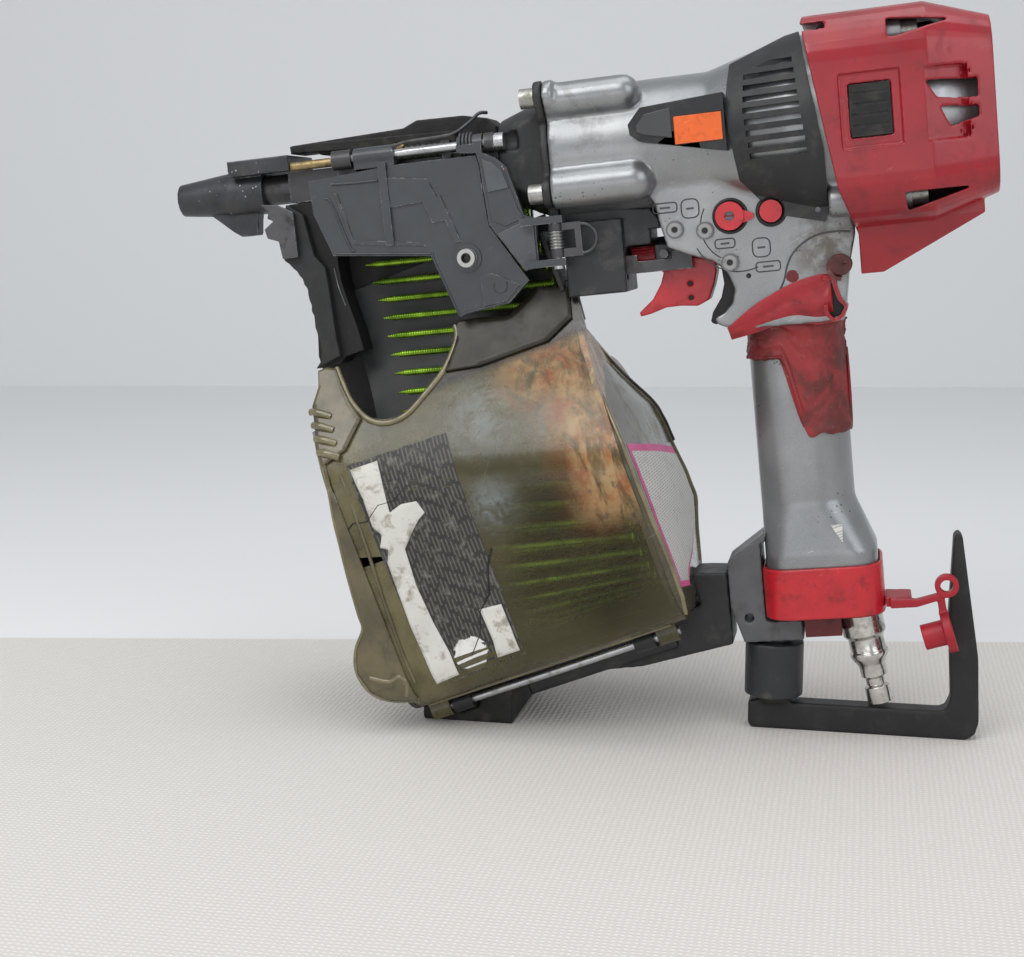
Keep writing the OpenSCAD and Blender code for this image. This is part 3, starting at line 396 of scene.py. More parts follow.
FINISHES = {  # settings for surface(), by material
    "black_casting": dict(color=(0.017, 0.018, 0.020), rough=0.48, worn=STEEL, worn_width=0.7,
        worn_amount=0.25, dirt=(0.10, 0.095, 0.085), dirt_amount=0.55, grain=0.18, grain_scale=700,
        chips=0.15, chip_color=(0.25, 0.25, 0.25)),
    "dark_casting": dict(color=(0.022, 0.024, 0.028), rough=0.42, worn=STEEL, worn_amount=0.35,
        dirt=(0.14, 0.13, 0.12), dirt_amount=0.4, grain=0.16, grain_scale=700, chips=0.16,
        chip_color=(0.32, 0.32, 0.33)),
    "door_paint": dict(color=(0.038, 0.044, 0.053), rough=0.36, vary=0.10, worn=(0.42, 0.43, 0.45),
        worn_width=0.6, worn_amount=0.45, dirt=(0.045, 0.04, 0.035), dirt_amount=0.35, scratch=0.5,
        chips=0.10, chip_color=(0.55, 0.25, 0.3), coat=0.2),
    "zinc_bolt": dict(color=(0.42, 0.42, 0.40), rough=0.34, metallic=0.85, vary=0.2, vary_scale=240,
        dirt=(0.16, 0.15, 0.07), dirt_amount=0.6, dirt_scale=160, grain=0.2),
    "nose_steel": dict(color=(0.085, 0.085, 0.09), rough=0.42, metallic=0.75, worn=STEEL,
        worn_amount=0.5, dirt=(0.05, 0.04, 0.03), grain=0.25, grain_scale=600),
    "foot_steel": dict(color=(0.060, 0.064, 0.072), rough=0.40, metallic=0.6, vary=0.25,
        worn=(0.5, 0.5, 0.52), worn_width=1.0, worn_amount=0.55, dirt=(0.11, 0.10, 0.09),
        dirt_amount=0.4, grain=0.35, grain_scale=420, chips=0.16, chip_color=(0.42, 0.42, 0.42)),
    "worn_steel": dict(color=(0.34, 0.26, 0.13), rough=0.38, metallic=0.85, vary=0.3,
        vary_scale=150, dirt=(0.06, 0.045, 0.02), dirt_amount=0.7, dirt_scale=190, grain=0.2),
    "bright_steel": dict(color=(0.50, 0.51, 0.53), rough=0.28, metallic=0.95, vary=0.15,
        dirt=(0.10, 0.09, 0.08), dirt_scale=150, grain=0.1),
    "spring_steel": dict(color=(0.30, 0.30, 0.30), rough=0.34, metallic=0.9,
        dirt=(0.08, 0.06, 0.04), dirt_amount=0.6, grain=0.1),
    "sleeve_aluminium": dict(color=(0.66, 0.67, 0.69), rough=0.26, metallic=0.95, grain=0.08),
    "cap_aluminium": dict(color=(0.42, 0.43, 0.45), rough=0.40, metallic=0.9,
        dirt=(0.12, 0.11, 0.1), grain=0.3, grain_scale=600),
    "brass_stem": dict(color=(0.62, 0.45, 0.18), rough=0.28, metallic=0.95, grain=0.08),
    "plug_chrome": dict(color=(0.62, 0.61, 0.58), rough=0.16, metallic=0.96, vary=0.2,
        vary_scale=160, dirt=(0.12, 0.10, 0.07), dirt_amount=0.55, dirt_scale=210, scratch=0.5,
        grain=0.1),
    "bracket_metal": dict(color=(0.11, 0.113, 0.12), rough=0.40, metallic=0.35, worn=STEEL,
        worn_amount=0.45, dirt=(0.07, 0.065, 0.06), grain=0.2, grain_scale=600, chips=0.16),
    "red_cover": dict(color=(0.300, 0.005, 0.014), rough=0.30, vary=0.14, vary_scale=28,
        worn=(0.50, 0.10, 0.12), worn_width=1.2, worn_amount=0.3, worn_metal=0.0, worn_rough=0.5,
        dirt=(0.10, 0.008, 0.012), dirt_amount=0.45, scratch=0.55, grain=0.10, grain_scale=1500,
        coat=0.3),
    "red_trim": dict(color=(0.50, 0.012, 0.022), rough=0.32, worn=(0.62, 0.20, 0.20),
        worn_width=0.5, worn_amount=0.3, worn_metal=0.0, worn_rough=0.5, dirt=(0.09, 0.008, 0.01),
        dirt_scale=120, scratch=0.35, coat=0.2),
    "dark_red_plastic": dict(color=(0.12, 0.008, 0.012), rough=0.42, dirt=(0.03, 0.01, 0.01),
        scratch=0.3),
    "red_rubber_bright": dict(color=(0.36, 0.006, 0.018), rough=0.42, vary=0.1,
        dirt=(0.13, 0.008, 0.012), scratch=0.15, grain=0.1),
    "black_rubber": dict(color=(0.008, 0.008, 0.008), rough=0.66, vary=0.25,
        worn=(0.07, 0.07, 0.07), worn_metal=0.0, worn_rough=0.8, dirt=(0.075, 0.07, 0.06),
        grain=0.4, grain_scale=500),
    "bumper_rubber": dict(color=(0.05, 0.03, 0.015), rough=0.6),
    "black_plastic": dict(color=(0.013, 0.014, 0.016), rough=0.42, vary=0.15,
        worn=(0.13, 0.13, 0.135), worn_width=0.5, worn_amount=0.35, worn_metal=0.0, worn_rough=0.5,
        dirt=(0.08, 0.077, 0.07), dirt_amount=0.35, scratch=0.3, grain=0.22, grain_scale=1100),
    "hook_black": dict(color=(0.010, 0.010, 0.011), rough=0.52, worn=(0.05, 0.05, 0.05),
        worn_metal=0.0, dirt=(0.05, 0.048, 0.045), dirt_amount=0.35, grain=0.45, grain_scale=520),
    "orange_badge": dict(color=(0.80, 0.13, 0.015), rough=0.30, vary=0.08, dirt=(0.35, 0.05, 0.01),
        dirt_amount=0.4, dirt_scale=200, scratch=0.8, worn=(0.9, 0.45, 0.3), worn_width=0.4,
        worn_metal=0.0),
    "smoke_horn": dict(color=(0.105, 0.085, 0.045), rough=0.3, vary=0.4, vary_scale=70,
        dirt=(0.02, 0.016, 0.010), dirt_amount=0.75, dirt_scale=80, scratch=0.5, grain=0.1,
        coat=0.5),
    "guard_rubber": dict(color=(0.020, 0.021, 0.023), rough=0.6, vary=0.2, worn=(0.06, 0.06, 0.06),
        worn_metal=0.0, worn_rough=0.8, dirt=(0.05, 0.048, 0.042), grain=0.35, grain_scale=420),
    "smoke_rim": dict(color=(0.17, 0.145, 0.070), rough=0.16, vary=0.25, vary_scale=60,
        dirt=(0.08, 0.06, 0.02), dirt_amount=0.7, dirt_scale=90, scratch=0.5, grain=0.1, coat=1.0),
    "torn_paper": dict(color=(0.66, 0.65, 0.61), rough=0.5, vary=0.06, dirt=(0.22, 0.19, 0.12),
        dirt_amount=0.75, dirt_scale=130, scratch=0.6, grain=0.1),
    "smoke_neck": dict(color=(0.020, 0.018, 0.011), rough=0.38, vary=0.5, vary_scale=70,
        dirt=(0.075, 0.060, 0.028), dirt_amount=0.8, dirt_scale=60, scratch=0.5, grain=0.15),
    "smoke_strip": dict(color=(0.105, 0.086, 0.040), rough=0.2, vary=0.35, vary_scale=45,
        dirt=(0.045, 0.036, 0.018), dirt_amount=0.7, dirt_scale=60, scratch=0.6, grain=0.1,
        coat=0.6),
    "smoke_dark": dict(color=(0.050, 0.042, 0.020), rough=0.22, vary=0.35, vary_scale=40,
        dirt=(0.13, 0.11, 0.06), dirt_amount=0.4, dirt_scale=60, scratch=0.6, grain=0.1, coat=0.5),
    "pink_paper": dict(color=(0.72, 0.10, 0.32), rough=0.5, dirt=DUST, scratch=0.3),
    "door_light": dict(color=(0.070, 0.078, 0.090), rough=0.36, worn=(0.42, 0.43, 0.45),
        worn_width=0.6, dirt=(0.05, 0.045, 0.04), dirt_amount=0.35, scratch=0.45, coat=0.2),
    "gloss_black": dict(color=(0.016, 0.017, 0.019), rough=0.2, worn=(0.1, 0.1, 0.1),
        worn_metal=0.0, scratch=0.4, coat=0.5),
    "latch_wire": dict(color=(0.085, 0.085, 0.09), rough=0.36, metallic=0.8, worn=STEEL,
        worn_amount=0.3, worn_width=0.4, dirt=(0.05, 0.04, 0.03), grain=0.15),
    "claw_steel": dict(color=(0.10, 0.10, 0.105), rough=0.45, metallic=0.6, worn=STEEL,
        worn_amount=0.6, worn_width=0.7, dirt=(0.03, 0.03, 0.03), dirt_amount=0.7, dirt_scale=150,
        grain=0.4, grain_scale=500),
    "matt_black": dict(color=(0.0045, 0.0045, 0.005), rough=0.6, scratch=0.15,
        dirt=(0.02, 0.019, 0.017), grain=0.35, grain_scale=600),
    "red_rubber_flap": dict(color=(0.30, 0.010, 0.018), rough=0.40, vary=0.3, vary_scale=40,
        worn=(0.45, 0.14, 0.13), worn_metal=0.0, dirt=(0.10, 0.012, 0.014), dirt_amount=0.7,
        dirt_scale=60, scratch=0.5, grain=0.3, grain_scale=500, coat=0.1),
    "icon_ink": dict(color=(0.060, 0.062, 0.068), rough=0.5, grain=0.2),
    "red_rubber_dark": dict(color=(0.085, 0.016, 0.015), rough=0.5, vary=0.3,
        dirt=(0.03, 0.015, 0.012), dirt_amount=0.6, worn=(0.28, 0.10, 0.09), worn_metal=0.0,
        scratch=0.3, grain=0.5, grain_scale=300),
}
M = {  # every material, by slot or name
    "silver_casting": silver_casting(),
    "red_rubber": red_rubber(),
    "smoke_plastic": smoke_plastic(),
    "green_nails": green_nails(),
    "decal_dark": decal_face("decal_dark", (0.022, 0.022, 0.021), (0.105, 0.102, 0.088), 520,
        rows=tuple(DRUM_UP), up=tuple(DRUM),
        peel=(((-128, -20, -112), 0.022), ((-104, -24, -106), 0.013), ((-118, -34, -150), 0.018),
              ((-104, -44, -178), 0.016), ((-112, -52, -204), 0.016))),
    "label_white": decal_face("label_white", (0.66, 0.65, 0.62), (0.30, 0.30, 0.30), 800,
        rows=tuple(SIDE), up=tuple(DRUM_UP)),
}
for finish_name, settings in FINISHES.items():
    M[finish_name] = surface(finish_name, **settings)

# ---- the CAD's own pieces --------------------------------------------------------

CAST = {  # node: voxel size in mm and smoothing passes, for cast and moulded pieces
    "body_housing": (1.0, 9),
    "nose_flange": (0.7, 6),
    "rear_cover": (0.5, 4),
    "contact_foot": (0.4, 3),
    "hook_bracket": (0.6, 6),
    "trigger": (0.4, 5),
    "belt_hook": (0.8, 6),
    "arm_guide": (0.7, 5),
    "nail_guard": (0.7, 5),
    "magazine_foot": (0.9, 5),
    "hook_post": (0.6, 5),
    "guard_claw": (0.3, 3),
    "top_cover": (0.6, 5),
    "support_arm": (0.9, 5),
    "plug_strap": (0.35, 5),
}
BEVEL = {  # node: width of the rounded edge in mm, where it isn't the usual one
    "magazine_cover": 0.9, "magazine_base": 0.7, "door": 0.5, "door_arm": 0.6,
    "side_panel_near": 0.6, "side_panel_far": 0.6, "end_ring": 1.2, "end_cap": 1.0,
    "contact_arm": 0.4, "mode_knob": 0.4, "duster_button": 0.6, "air_plug": 0.3,
    "cylinder_cap": 0.8, "latch_spring": 0, "contact_spring": 0, "head_valve_spring": 0,
    "nail_coil": 0,
}


def bolt_face(name, centres, color, socket, rim, edge_color, rough=0.34, metallic=0.8):
    """A screw head: dark socket, metal face and a ring of another colour, each round a centre."""
    s = Shader(name)
    shade = s.blend(s.noise(300, 4), [c * 0.75 for c in color], color)
    gap = None
    for point in centres:
        flat = s.add(
            "ShaderNodeVectorMath", {0: s.place, 1: (1, 0, 1)}, operation="MULTIPLY"
        ).outputs[0]
        away = s.vector("DISTANCE", flat, (point.x, 0, point.z))
        gap = away if gap is None else s.math("MINIMUM", gap, away)
    ring = s.step(gap, rim - 0.0002, rim + 0.0002)
    hole = s.flip(s.step(gap, socket - 0.0002, socket + 0.0002))
    shade = s.blend(ring, shade, edge_color)
    shade = s.blend(hole, shade, (0.008, 0.008, 0.008))
    shade = s.blend(
        s.times(s.step(s.noise(260, 5, 0.7), 0.52, 0.66), 0.5), shade, (0.08, 0.07, 0.06)
    )
    s.bump(s.noise(700, 3), 0.15, 0.0002)
    return s.done(shade, rough, s.mix(s.most(ring, hole), metallic, 0.1))


SCREWS = [at(x, 0, z) for x, z in ((56.2, -39.7), (69.9, -41.5), (80, -57))]
FINISH = {  # nodes whose finish isn't simply their slot's
    "web_screws": bolt_face("web_screw_face", SCREWS, (0.34, 0.34, 0.34), 0.0014, 0.0032,
                            (0.13, 0.135, 0.14)),
    "door_screw": bolt_face("door_screw_face", [at(-42.2, 0, -42.7)], (0.50, 0.50, 0.49),
                            0.0024, 0.0044, (0.050, 0.056, 0.066)),
    "latch_lever": M["latch_wire"],
    "trigger_pin": M["latch_wire"],
    "guard_claw": M["claw_steel"],
}
USUAL_BEVEL = 0.35  # mm
WELD_GAP = 0.00001
SLOT_OF = {p["node"]: p["material_slot"] for p in frame["record"]["subparts"]}


def smooth_shading(mesh, angle=35):
    if "custom_normal" in mesh.attributes:
        mesh.attributes.remove(mesh.attributes["custom_normal"])
    mesh.shade_smooth()
    mesh.set_sharp_from_angle(angle=math.radians(angle))


def round_edges(obj, width, angle):
    """A small rounding, width in mm, on edges sharper than angle degrees."""
    bevel = obj.modifiers.new("rounded_edges", "BEVEL")
    bevel.width = width * MM
    bevel.segments = 2
    bevel.limit_method = "ANGLE"
    bevel.angle_limit = math.radians(angle)
    bevel.use_clamp_overlap = True
    bevel.harden_normals = True


def finish_node(name, obj):
    """Rounds a CAD piece's edges with modifiers and gives it its material."""
    obj.data.materials.clear()
    obj.data.materials.append(FINISH.get(name, M[SLOT_OF[name]]))
    weld = obj.modifiers.new("weld", "WELD")
    weld.merge_threshold = WELD_GAP
    if name in CAST:
        voxel, passes = CAST[name]
        smooth_shading(obj.data, 180)
        remesh = obj.modifiers.new("cast_skin", "REMESH")
        remesh.mode = "VOXEL"
        remesh.voxel_size = voxel * MM
        remesh.use_smooth_shade = True
        soften = obj.modifiers.new("cast_fillets", "SMOOTH")
        soften.factor = 0.6
        soften.iterations = passes
        return
    smooth_shading(obj.data)
    width = BEVEL.get(name, USUAL_BEVEL)
    if width:
        round_edges(obj, width, 32)


for node_name, node_object in NODES.items():
    finish_node(node_name, node_object)

# ---- building the added pieces ------------------------------------------------------


TUBE_SHARP = 60  # tubes and sheets look sharp only past this angle, in degrees


def piece(name, mesh, body, slot, finish=None, auto=35):
    """Links a mesh made in frame axes, lets it ride on a body and gives it its finish."""
    made = bpy.data.objects.new(name, mesh)
    bpy.context.scene.collection.objects.link(made)
    mesh.materials.append(M[finish or slot])
    smooth_shading(mesh, auto)
    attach(made, body)
    return made


def mesh_of(name, verts, faces):
    mesh = bpy.data.meshes.new(name)
    mesh.from_pydata([tuple(v) for v in verts], [], faces)
    made = bmesh.new()
    made.from_mesh(mesh)
    bmesh.ops.recalc_face_normals(made, faces=made.faces)
    made.to_mesh(mesh)
    made.free()
    return mesh


def spline(points, steps=6, closed=False):
    """A smooth line through points."""
    pts = [Vector(p) for p in points]
    n = len(pts)
    line = []
    for i in range(n if closed else n - 1):
        a, b = pts[(i - 1) % n if closed else max(i - 1, 0)], pts[i]
        c, d = pts[(i + 1) % n], pts[(i + 2) % n if closed else min(i + 2, n - 1)]
        for k in range(steps):
            t = k / steps
            line.append(
                0.5 * ((2 * b) + (c - a) * t + (2 * a - 5 * b + 4 * c - d) * t * t
                    + (3 * b - a - 3 * c + d) * t ** 3)
            )
    if not closed:
        line.append(pts[-1])
    return line


def tube_mesh(name, line, radius, sides=10, closed=False):
    """A round bar along a line; radius is in mm, or a function of 0..1 along it."""
    n = len(line)
    verts, faces = [], []
    up = Vector((0.13, 0.77, 0.62)).normalized()
    for i, p in enumerate(line):
        ahead = line[(i + 1) % n] if closed or i < n - 1 else line[i]
        behind = line[i - 1] if closed or i > 0 else line[i]
        way = (ahead - behind).normalized()
        up = (up - way * up.dot(way)).normalized()
        side = way.cross(up)
        r = (radius(i / (n - 1)) if callable(radius) else radius) * MM
        for k in range(sides):
            a = TAU * k / sides
            verts.append(p + (up * math.cos(a) + side * math.sin(a)) * r)
    for i in range(n if closed else n - 1):
        for k in range(sides):
            a, b = i * sides, ((i + 1) % n) * sides
            faces.append((a + k, a + (k + 1) % sides, b + (k + 1) % sides, b + k))
    if not closed:
        faces.append(tuple(range(sides)))
        faces.append(tuple(range((n - 1) * sides, n * sides)))
    return mesh_of(name, verts, faces)


def tube(name, points, radius, body, slot, sides=10, closed=False, steps=6, finish=None):
    line = spline(points, steps, closed) if steps > 1 else [Vector(p) for p in points]
    return piece(name, tube_mesh(name, line, radius, sides, closed), body, slot, finish, TUBE_SHARP)


def row(y, points):
    """Points (x, z) on the tool, all at one y."""
    return [at(x, y, z) for x, z in points]


def circle(x, z, wide, high, count):
    """Points (x, z) round a centre, from its two radii."""
    return [
        (x + wide * math.cos(TAU * k / count), z + high * math.sin(TAU * k / count))
        for k in range(count)
    ]


def plate(name, outline, y0, y1, body, slot, width=0.3, finish=None, place=at):
    """A flat outline in the X-Z plane of the tool, from y0 to y1, with rounded edges."""
    n = len(outline)
    verts = [place(x, y0, z) for x, z in outline] + [place(x, y1, z) for x, z in outline]
    faces = [tuple(range(n)), tuple(range(n, 2 * n))]
    faces += [(i, (i + 1) % n, n + (i + 1) % n, n + i) for i in range(n)]
    made = piece(name, mesh_of(name, verts, faces), body, slot, finish)
    round_edges(made, width, 30)
    return made


def skin(name, surface_at, rows, cols, thick, body, slot, finish=None):
    """A closed sheet on surface_at(s, t), s and t from 0 to 1, thick mm deep along its normal."""
    top, low = [], []
    for j in range(rows + 1):
        for i in range(cols + 1):
            sx, tx = i / cols, j / rows
            p = surface_at(sx, tx)
            e = 1e-3
            du = surface_at(min(sx + e, 1), tx) - surface_at(max(sx - e, 0), tx)
            dv = surface_at(sx, min(tx + e, 1)) - surface_at(sx, max(tx - e, 0))
            normal = du.cross(dv).normalized()
            top.append(p + normal * thick * MM)
            low.append(p)
    w = cols + 1
    count = len(top)
    verts = top + low
    faces = []
    for j in range(rows):
        for i in range(cols):
            a = j * w + i
            faces.append((a, a + 1, a + w + 1, a + w))
            faces.append((count + a, count + a + w, count + a + w + 1, count + a + 1))
    edge = (
        [(j * w, (j + 1) * w) for j in range(rows)] + [(j * w + cols, (j + 1) * w + cols)
            for j in range(rows)] + [(i, i + 1) for i in range(cols)]
        + [(rows * w + i, rows * w + i + 1) for i in range(cols)]
    )
    faces += [(a, b, count + b, count + a) for a, b in edge]
    return piece(name, mesh_of(name, verts, faces), body, slot, finish, TUBE_SHARP)


def arc(cx, cy, r, start, end, steps=12):
    """Points on an arc in a plane, angles in degrees."""
    return [
        (cx + r * math.cos(math.radians(start + (end - start) * k / steps)), cy + r
            * math.sin(math.radians(start + (end - start) * k / steps))) for k in range(steps + 1)
    ]


# ---- magazine cover trim ----------------------------------------------------------------

COIL_ANGLE = DRUM.angle(BARREL)
HEAD_U = -21.2  # where the nail heads lie along the drum
CORNER_W, CORNER_R = -204, 20  # where the near wall turns under the drum, and its radius


def ease(t):
    c = min(max(t, 0), 1)
    return c * c * (3 - 2 * c)


def wall_y(u, w):
    """Outer face of the cover's near wall, in mm across the tool."""
    z = u * math.sin(COIL_ANGLE) + w * math.cos(COIL_ANGLE)
    v = (-z + HEAD_U * math.sin(COIL_ANGLE)) / math.cos(COIL_ANGLE)
    if w < CORNER_W:
        return -35 - math.sqrt(max(0.0, CORNER_R ** 2 - (w - CORNER_W) ** 2))
    return -45 * ease((v - 45) / 105) - 10


def on_wall(u, w, out=0.0):
    return mag(u, wall_y(u, w) - out, w)


def wall_row(out, points):
    """Points (u, w) on the near wall, out mm proud of it."""
    return [on_wall(u, w, out) for u, w in points]


def cover_tube(name, line, radius, sides=10, steps=6, finish="smoke_rim"):
    tube(name, line, radius, "cover", "smoke_plastic", sides, steps=steps, finish=finish)


def quad(corners, s, t):
    (a, b, c, d) = [Vector(k) for k in corners]
    return a * (1 - s) * (1 - t) + b * s * (1 - t) + c * s * t + d * (1 - s) * t


def wall_sheet(name, outline, out, thick, slot="smoke_plastic", finish=None):
    """A moulded sheet that follows the cover's near wall inside an outline of (u, w) points."""
    made = bmesh.new()
    made.faces.new([made.verts.new((u, w, 0)) for u, w in outline])
    bmesh.ops.triangulate(made, faces=made.faces)
    for _ in range(3):
        bmesh.ops.subdivide_edges(made, edges=made.edges, cuts=1, use_grid_fill=True)
    for v in made.verts:
        v.co = on_wall(v.co.x, v.co.y, out)
    mesh = bpy.data.meshes.new(name)
    made.to_mesh(mesh)
    made.free()
    sheet = piece(name, mesh, "cover", slot, finish, TUBE_SHARP)
    solid = sheet.modifiers.new("thickness", "SOLIDIFY")
    solid.thickness = thick * MM
    solid.offset = 0
    return sheet


wall_sheet(
    "cover_neck", [(-80.7, -75.8), (-76.2, -69.4), (-71.8, -63.2), (-71.3, -57.7), (-68.8, -55.8),
        (-59.3, -58.0), (-45.2, -62.1), (-37.0, -58.1), (-29.7, -53.8), (-14.1, -59.8),
        (-16.7, -73.7), (-30.3, -79.8), (-64.3, -79.2)], 0.9, 1.6, finish="smoke_neck"
)
wall_sheet(
    "cover_horn", [(-140.9, -54.0), (-136.5, -53.9), (-132.1, -56.1), (-131.0, -62.6),
        (-128.2, -73.0), (-124.5, -82.5), (-134.7, -93.6), (-147.8, -97.0), (-148.4, -88.0),
        (-147.0, -79.9), (-146.5, -69.1), (-142.0, -61.4)], 1.1, 2.0, finish="smoke_horn"
)
cut_line = [
    (-132.2, -55.6), (-130.8, -62.5), (-128.3, -72.5), (-121.8, -83.5), (-113.0, -88.6),
    (-103.0, -88.2), (-92.3, -82.4), (-81.4, -75.0), (-75.0, -67.5), (-71.8, -62.0), (-71.4, -57.2)
]
cover_tube("cover_cut_rim", wall_row(0.2, cut_line), 1.5, 12)
FRONT_EDGE = [
    (-147.2, -96), (-147.8, -108.3), (-150.5, -122), (-152.2, -133.8), (-154.6, -151),
    (-156.4, -168.2), (-157.2, -176), (-164.5, -184.5), (-168.2, -195), (-165.3, -205.9),
    (-158, -212.8), (-146, -217.5)
]
wall_sheet(
    "cover_front_strip", FRONT_EDGE + [(-146, -200), (-146, -150), (-146, -100)], 0.3, 2.4,
    finish="smoke_strip"
)
cover_tube("cover_front_rim", wall_row(0.3, FRONT_EDGE), 1.25, 12)
cover_tube(
    "cover_front_crease", wall_row(0.2, ((-140.4, -104), (-140.8, -138), (-142.6, -167),
        (-143.4, -194), (-143, -208))), 0.9, 8, finish="smoke_strip"
)
cover_tube(
    "cover_foot_lip", wall_row(0.6, ((-163, -199), (-155, -203.5), (-149, -203), (-147, -207.5),
        (-150, -213))), 1.3
)
cover_tube("cover_bottom_rim", [mag(u, -37.5, -223.4) for u in range(-147, -12, 9)], 1.3, steps=2)
# slanted rear face, between the near wall's edge and the far silhouette
SHELL_NEAR = [
    (-16.5, -85.2), (-15.9, -93.4), (-14.1, -104.6), (-12.3, -115.6), (-11.0, -125.1),
    (-9.8, -134.6), (-9.1, -146.6), (-8.9, -158.9), (-8.7, -172.6), (-8.2, -188.0), (-8.0, -200.6),
    (-8.4, -210.4), (-10.6, -219.0)
]
SHELL_FAR = [
    (-14.4, -8, -86.6), (-13.8, 4, -95.0), (-11.2, 28, -110.7), (-5.3, 46, -128.8),
    (-4.6, 52, -140.1), (-4.8, 57, -153.3), (-3.8, 60, -168.1), (-3.8, 60, -182.7),
    (-8.5, 57, -198.3), (-11.5, 48, -212.9), (-12.5, 38, -219.7), (-12.8, 22, -223.7),
    (-13.0, 0, -224.7)
]


def shell_at(s, t, out=0.0):
    """A point on the cover's rear face: s down its length, t from the near edge to the far one."""
    k = min(s * (len(SHELL_NEAR) - 1), len(SHELL_NEAR) - 1.001)
    i = int(k)
    f = k - i
    (u0, w0), (u1, w1) = SHELL_NEAR[i], SHELL_NEAR[i + 1]
    near = on_wall(u0 + (u1 - u0) * f, w0 + (w1 - w0) * f, -1.0)
    far = mag(*SHELL_FAR[i]).lerp(mag(*SHELL_FAR[i + 1]), f)
    return near.lerp(far, t) + DRUM * (2.2 * math.sin(math.pi * t) + out) * MM


SHELL_ROWS, SHELL_COLS = 48, 8
SHELL_FRONT = -14.6  # where the rear piece ends inside the cover, mm along the drum


def shell_mesh(name):
    """The rear face closed with a flat front and sides."""
    verts = [
        shell_at(j / SHELL_ROWS, i / SHELL_COLS) for j in range(SHELL_ROWS + 1)
        for i in range(SHELL_COLS + 1)
    ]
    back, wide = len(verts), SHELL_COLS + 1
    for j in range(SHELL_ROWS + 1):
        for i in (0, SHELL_COLS):
            p = shell_at(j / SHELL_ROWS, i / SHELL_COLS)
            verts.append(p - DRUM * ((p - ORIGIN).dot(DRUM) - SHELL_FRONT * MM))
    faces = []
    for j in range(SHELL_ROWS):
        a, b, c = back + 2 * j, j * wide, j * wide + SHELL_COLS
        faces += [(k, k + 1, k + wide + 1, k + wide) for k in range(b, c)]
        faces += [(b, b + wide, a + 2, a), (c, c + wide, a + 3, a + 1), (a, a + 2, a + 3, a + 1)]
    for j in (0, SHELL_ROWS):
        faces.append([j * wide + i for i in range(wide)] + [back + 2 * j + 1, back + 2 * j])
    return mesh_of(name, verts, faces)


piece("cover_rear_face", shell_mesh("cover_rear_face"), "cover", "smoke_plastic", "smoke_dark", 40)
cover_tube("cover_rear_rim", [shell_at(k / 24, 0) for k in range(25)], 1.15, steps=3)
cover_tube("cover_far_rim", [shell_at(k / 24, 1) for k in range(25)], 1.15, steps=3)
for i in range(4):
    cover_tube(
        f"cover_finger_ridge_{i}", [on_wall(-147.6, -71 - 6.4 * i, 1.0),
            on_wall(-144, -72.4 - 6.4 * i, 3.0), on_wall(-138.5, -76.5 - 6.4 * i, 1.4)], 1.9
    )

DECAL = [(-136.6, -100.7, 0), (-86.7, -102.5, 0), (-87.2, -212, 0), (-134, -214.5, 0)]


def decal_at(s, t):
    q = quad(DECAL, s, t)
    wave = 0.8 * noise.noise(Vector((s * 9, t * 14, 3)))
    return on_wall(q.x + (wave if s in (0, 1) else 0), q.y + (wave if t in (0, 1) else 0), 0.02)


skin("cover_decal", decal_at, 30, 14, 0.16, "cover", "black_plastic", "decal_dark")
wall_sheet(
    "decal_torn", [(-135.4, -103.0), (-121.6, -103.4), (-121.8, -110), (-122.6, -118),
        (-123.8, -128.1), (-117, -126.2), (-109.6, -127.4), (-107.8, -133.7), (-112, -136),
        (-115.9, -139.3), (-123.3, -146.7), (-124.0, -156), (-124.7, -164.7), (-123.5, -183.6),
        (-121.3, -200.1), (-121.4, -211.5), (-133.6, -212.5), (-134.0, -198.7), (-134.8, -182),
        (-134.4, -164.8), (-133.9, -150.1), (-131.1, -144.3), (-134.6, -142.3), (-131.5, -136.7),
        (-134.4, -131.8), (-133.6, -118)], 0.26, 0.16, "black_plastic", "torn_paper"
)
wall_sheet(
    "decal_box", [(-100.0, -185.1), (-89.2, -186.0), (-89, -198.1), (-89, -209.6),
        (-100.4, -209.6), (-99.3, -201.0)], 0.26, 0.14, "black_plastic", "torn_paper"
)
crack = [
    (-149, -131), (-143, -127), (-136, -128.5), (-128, -123), (-120, -123.5), (-112, -119),
    (-106.5, -120)
]
tube(
    "cover_crack", wall_row(0.18, crack), lambda t: 0.42 - 0.3 * t, "cover", "black_plastic", 6,
    steps=1
)
crack = [(-84, -160), (-89, -168), (-93, -180), (-100, -186), (-104, -196), (-112, -205)]
tube(
    "cover_crack_low", wall_row(0.22, crack), lambda t: 0.5 - 0.35 * t, "cover", "black_plastic",
    6, steps=1
)


def label_at(grow, out):
    def surface_at(s, t):
        wide = 0.93 - 0.62 * ease((t - 0.45) / 0.55)
        return shell_at(
            0.435 - grow + (0.43 + 2 * grow) * t, 0.07 - grow + (wide + grow * 1.6 - 0.07) * s, out
        )
    return surface_at


skin(
    "disc_label_border", label_at(0.012, 0.15), 24, 10, 0.14, "cover", "smoke_plastic", "pink_paper"
)
skin("disc_label", label_at(-0.012, 0.42), 24, 10, 0.14, "cover", "smoke_plastic", "label_white")

# ---- door and nose trim ------------------------------------------------------------------

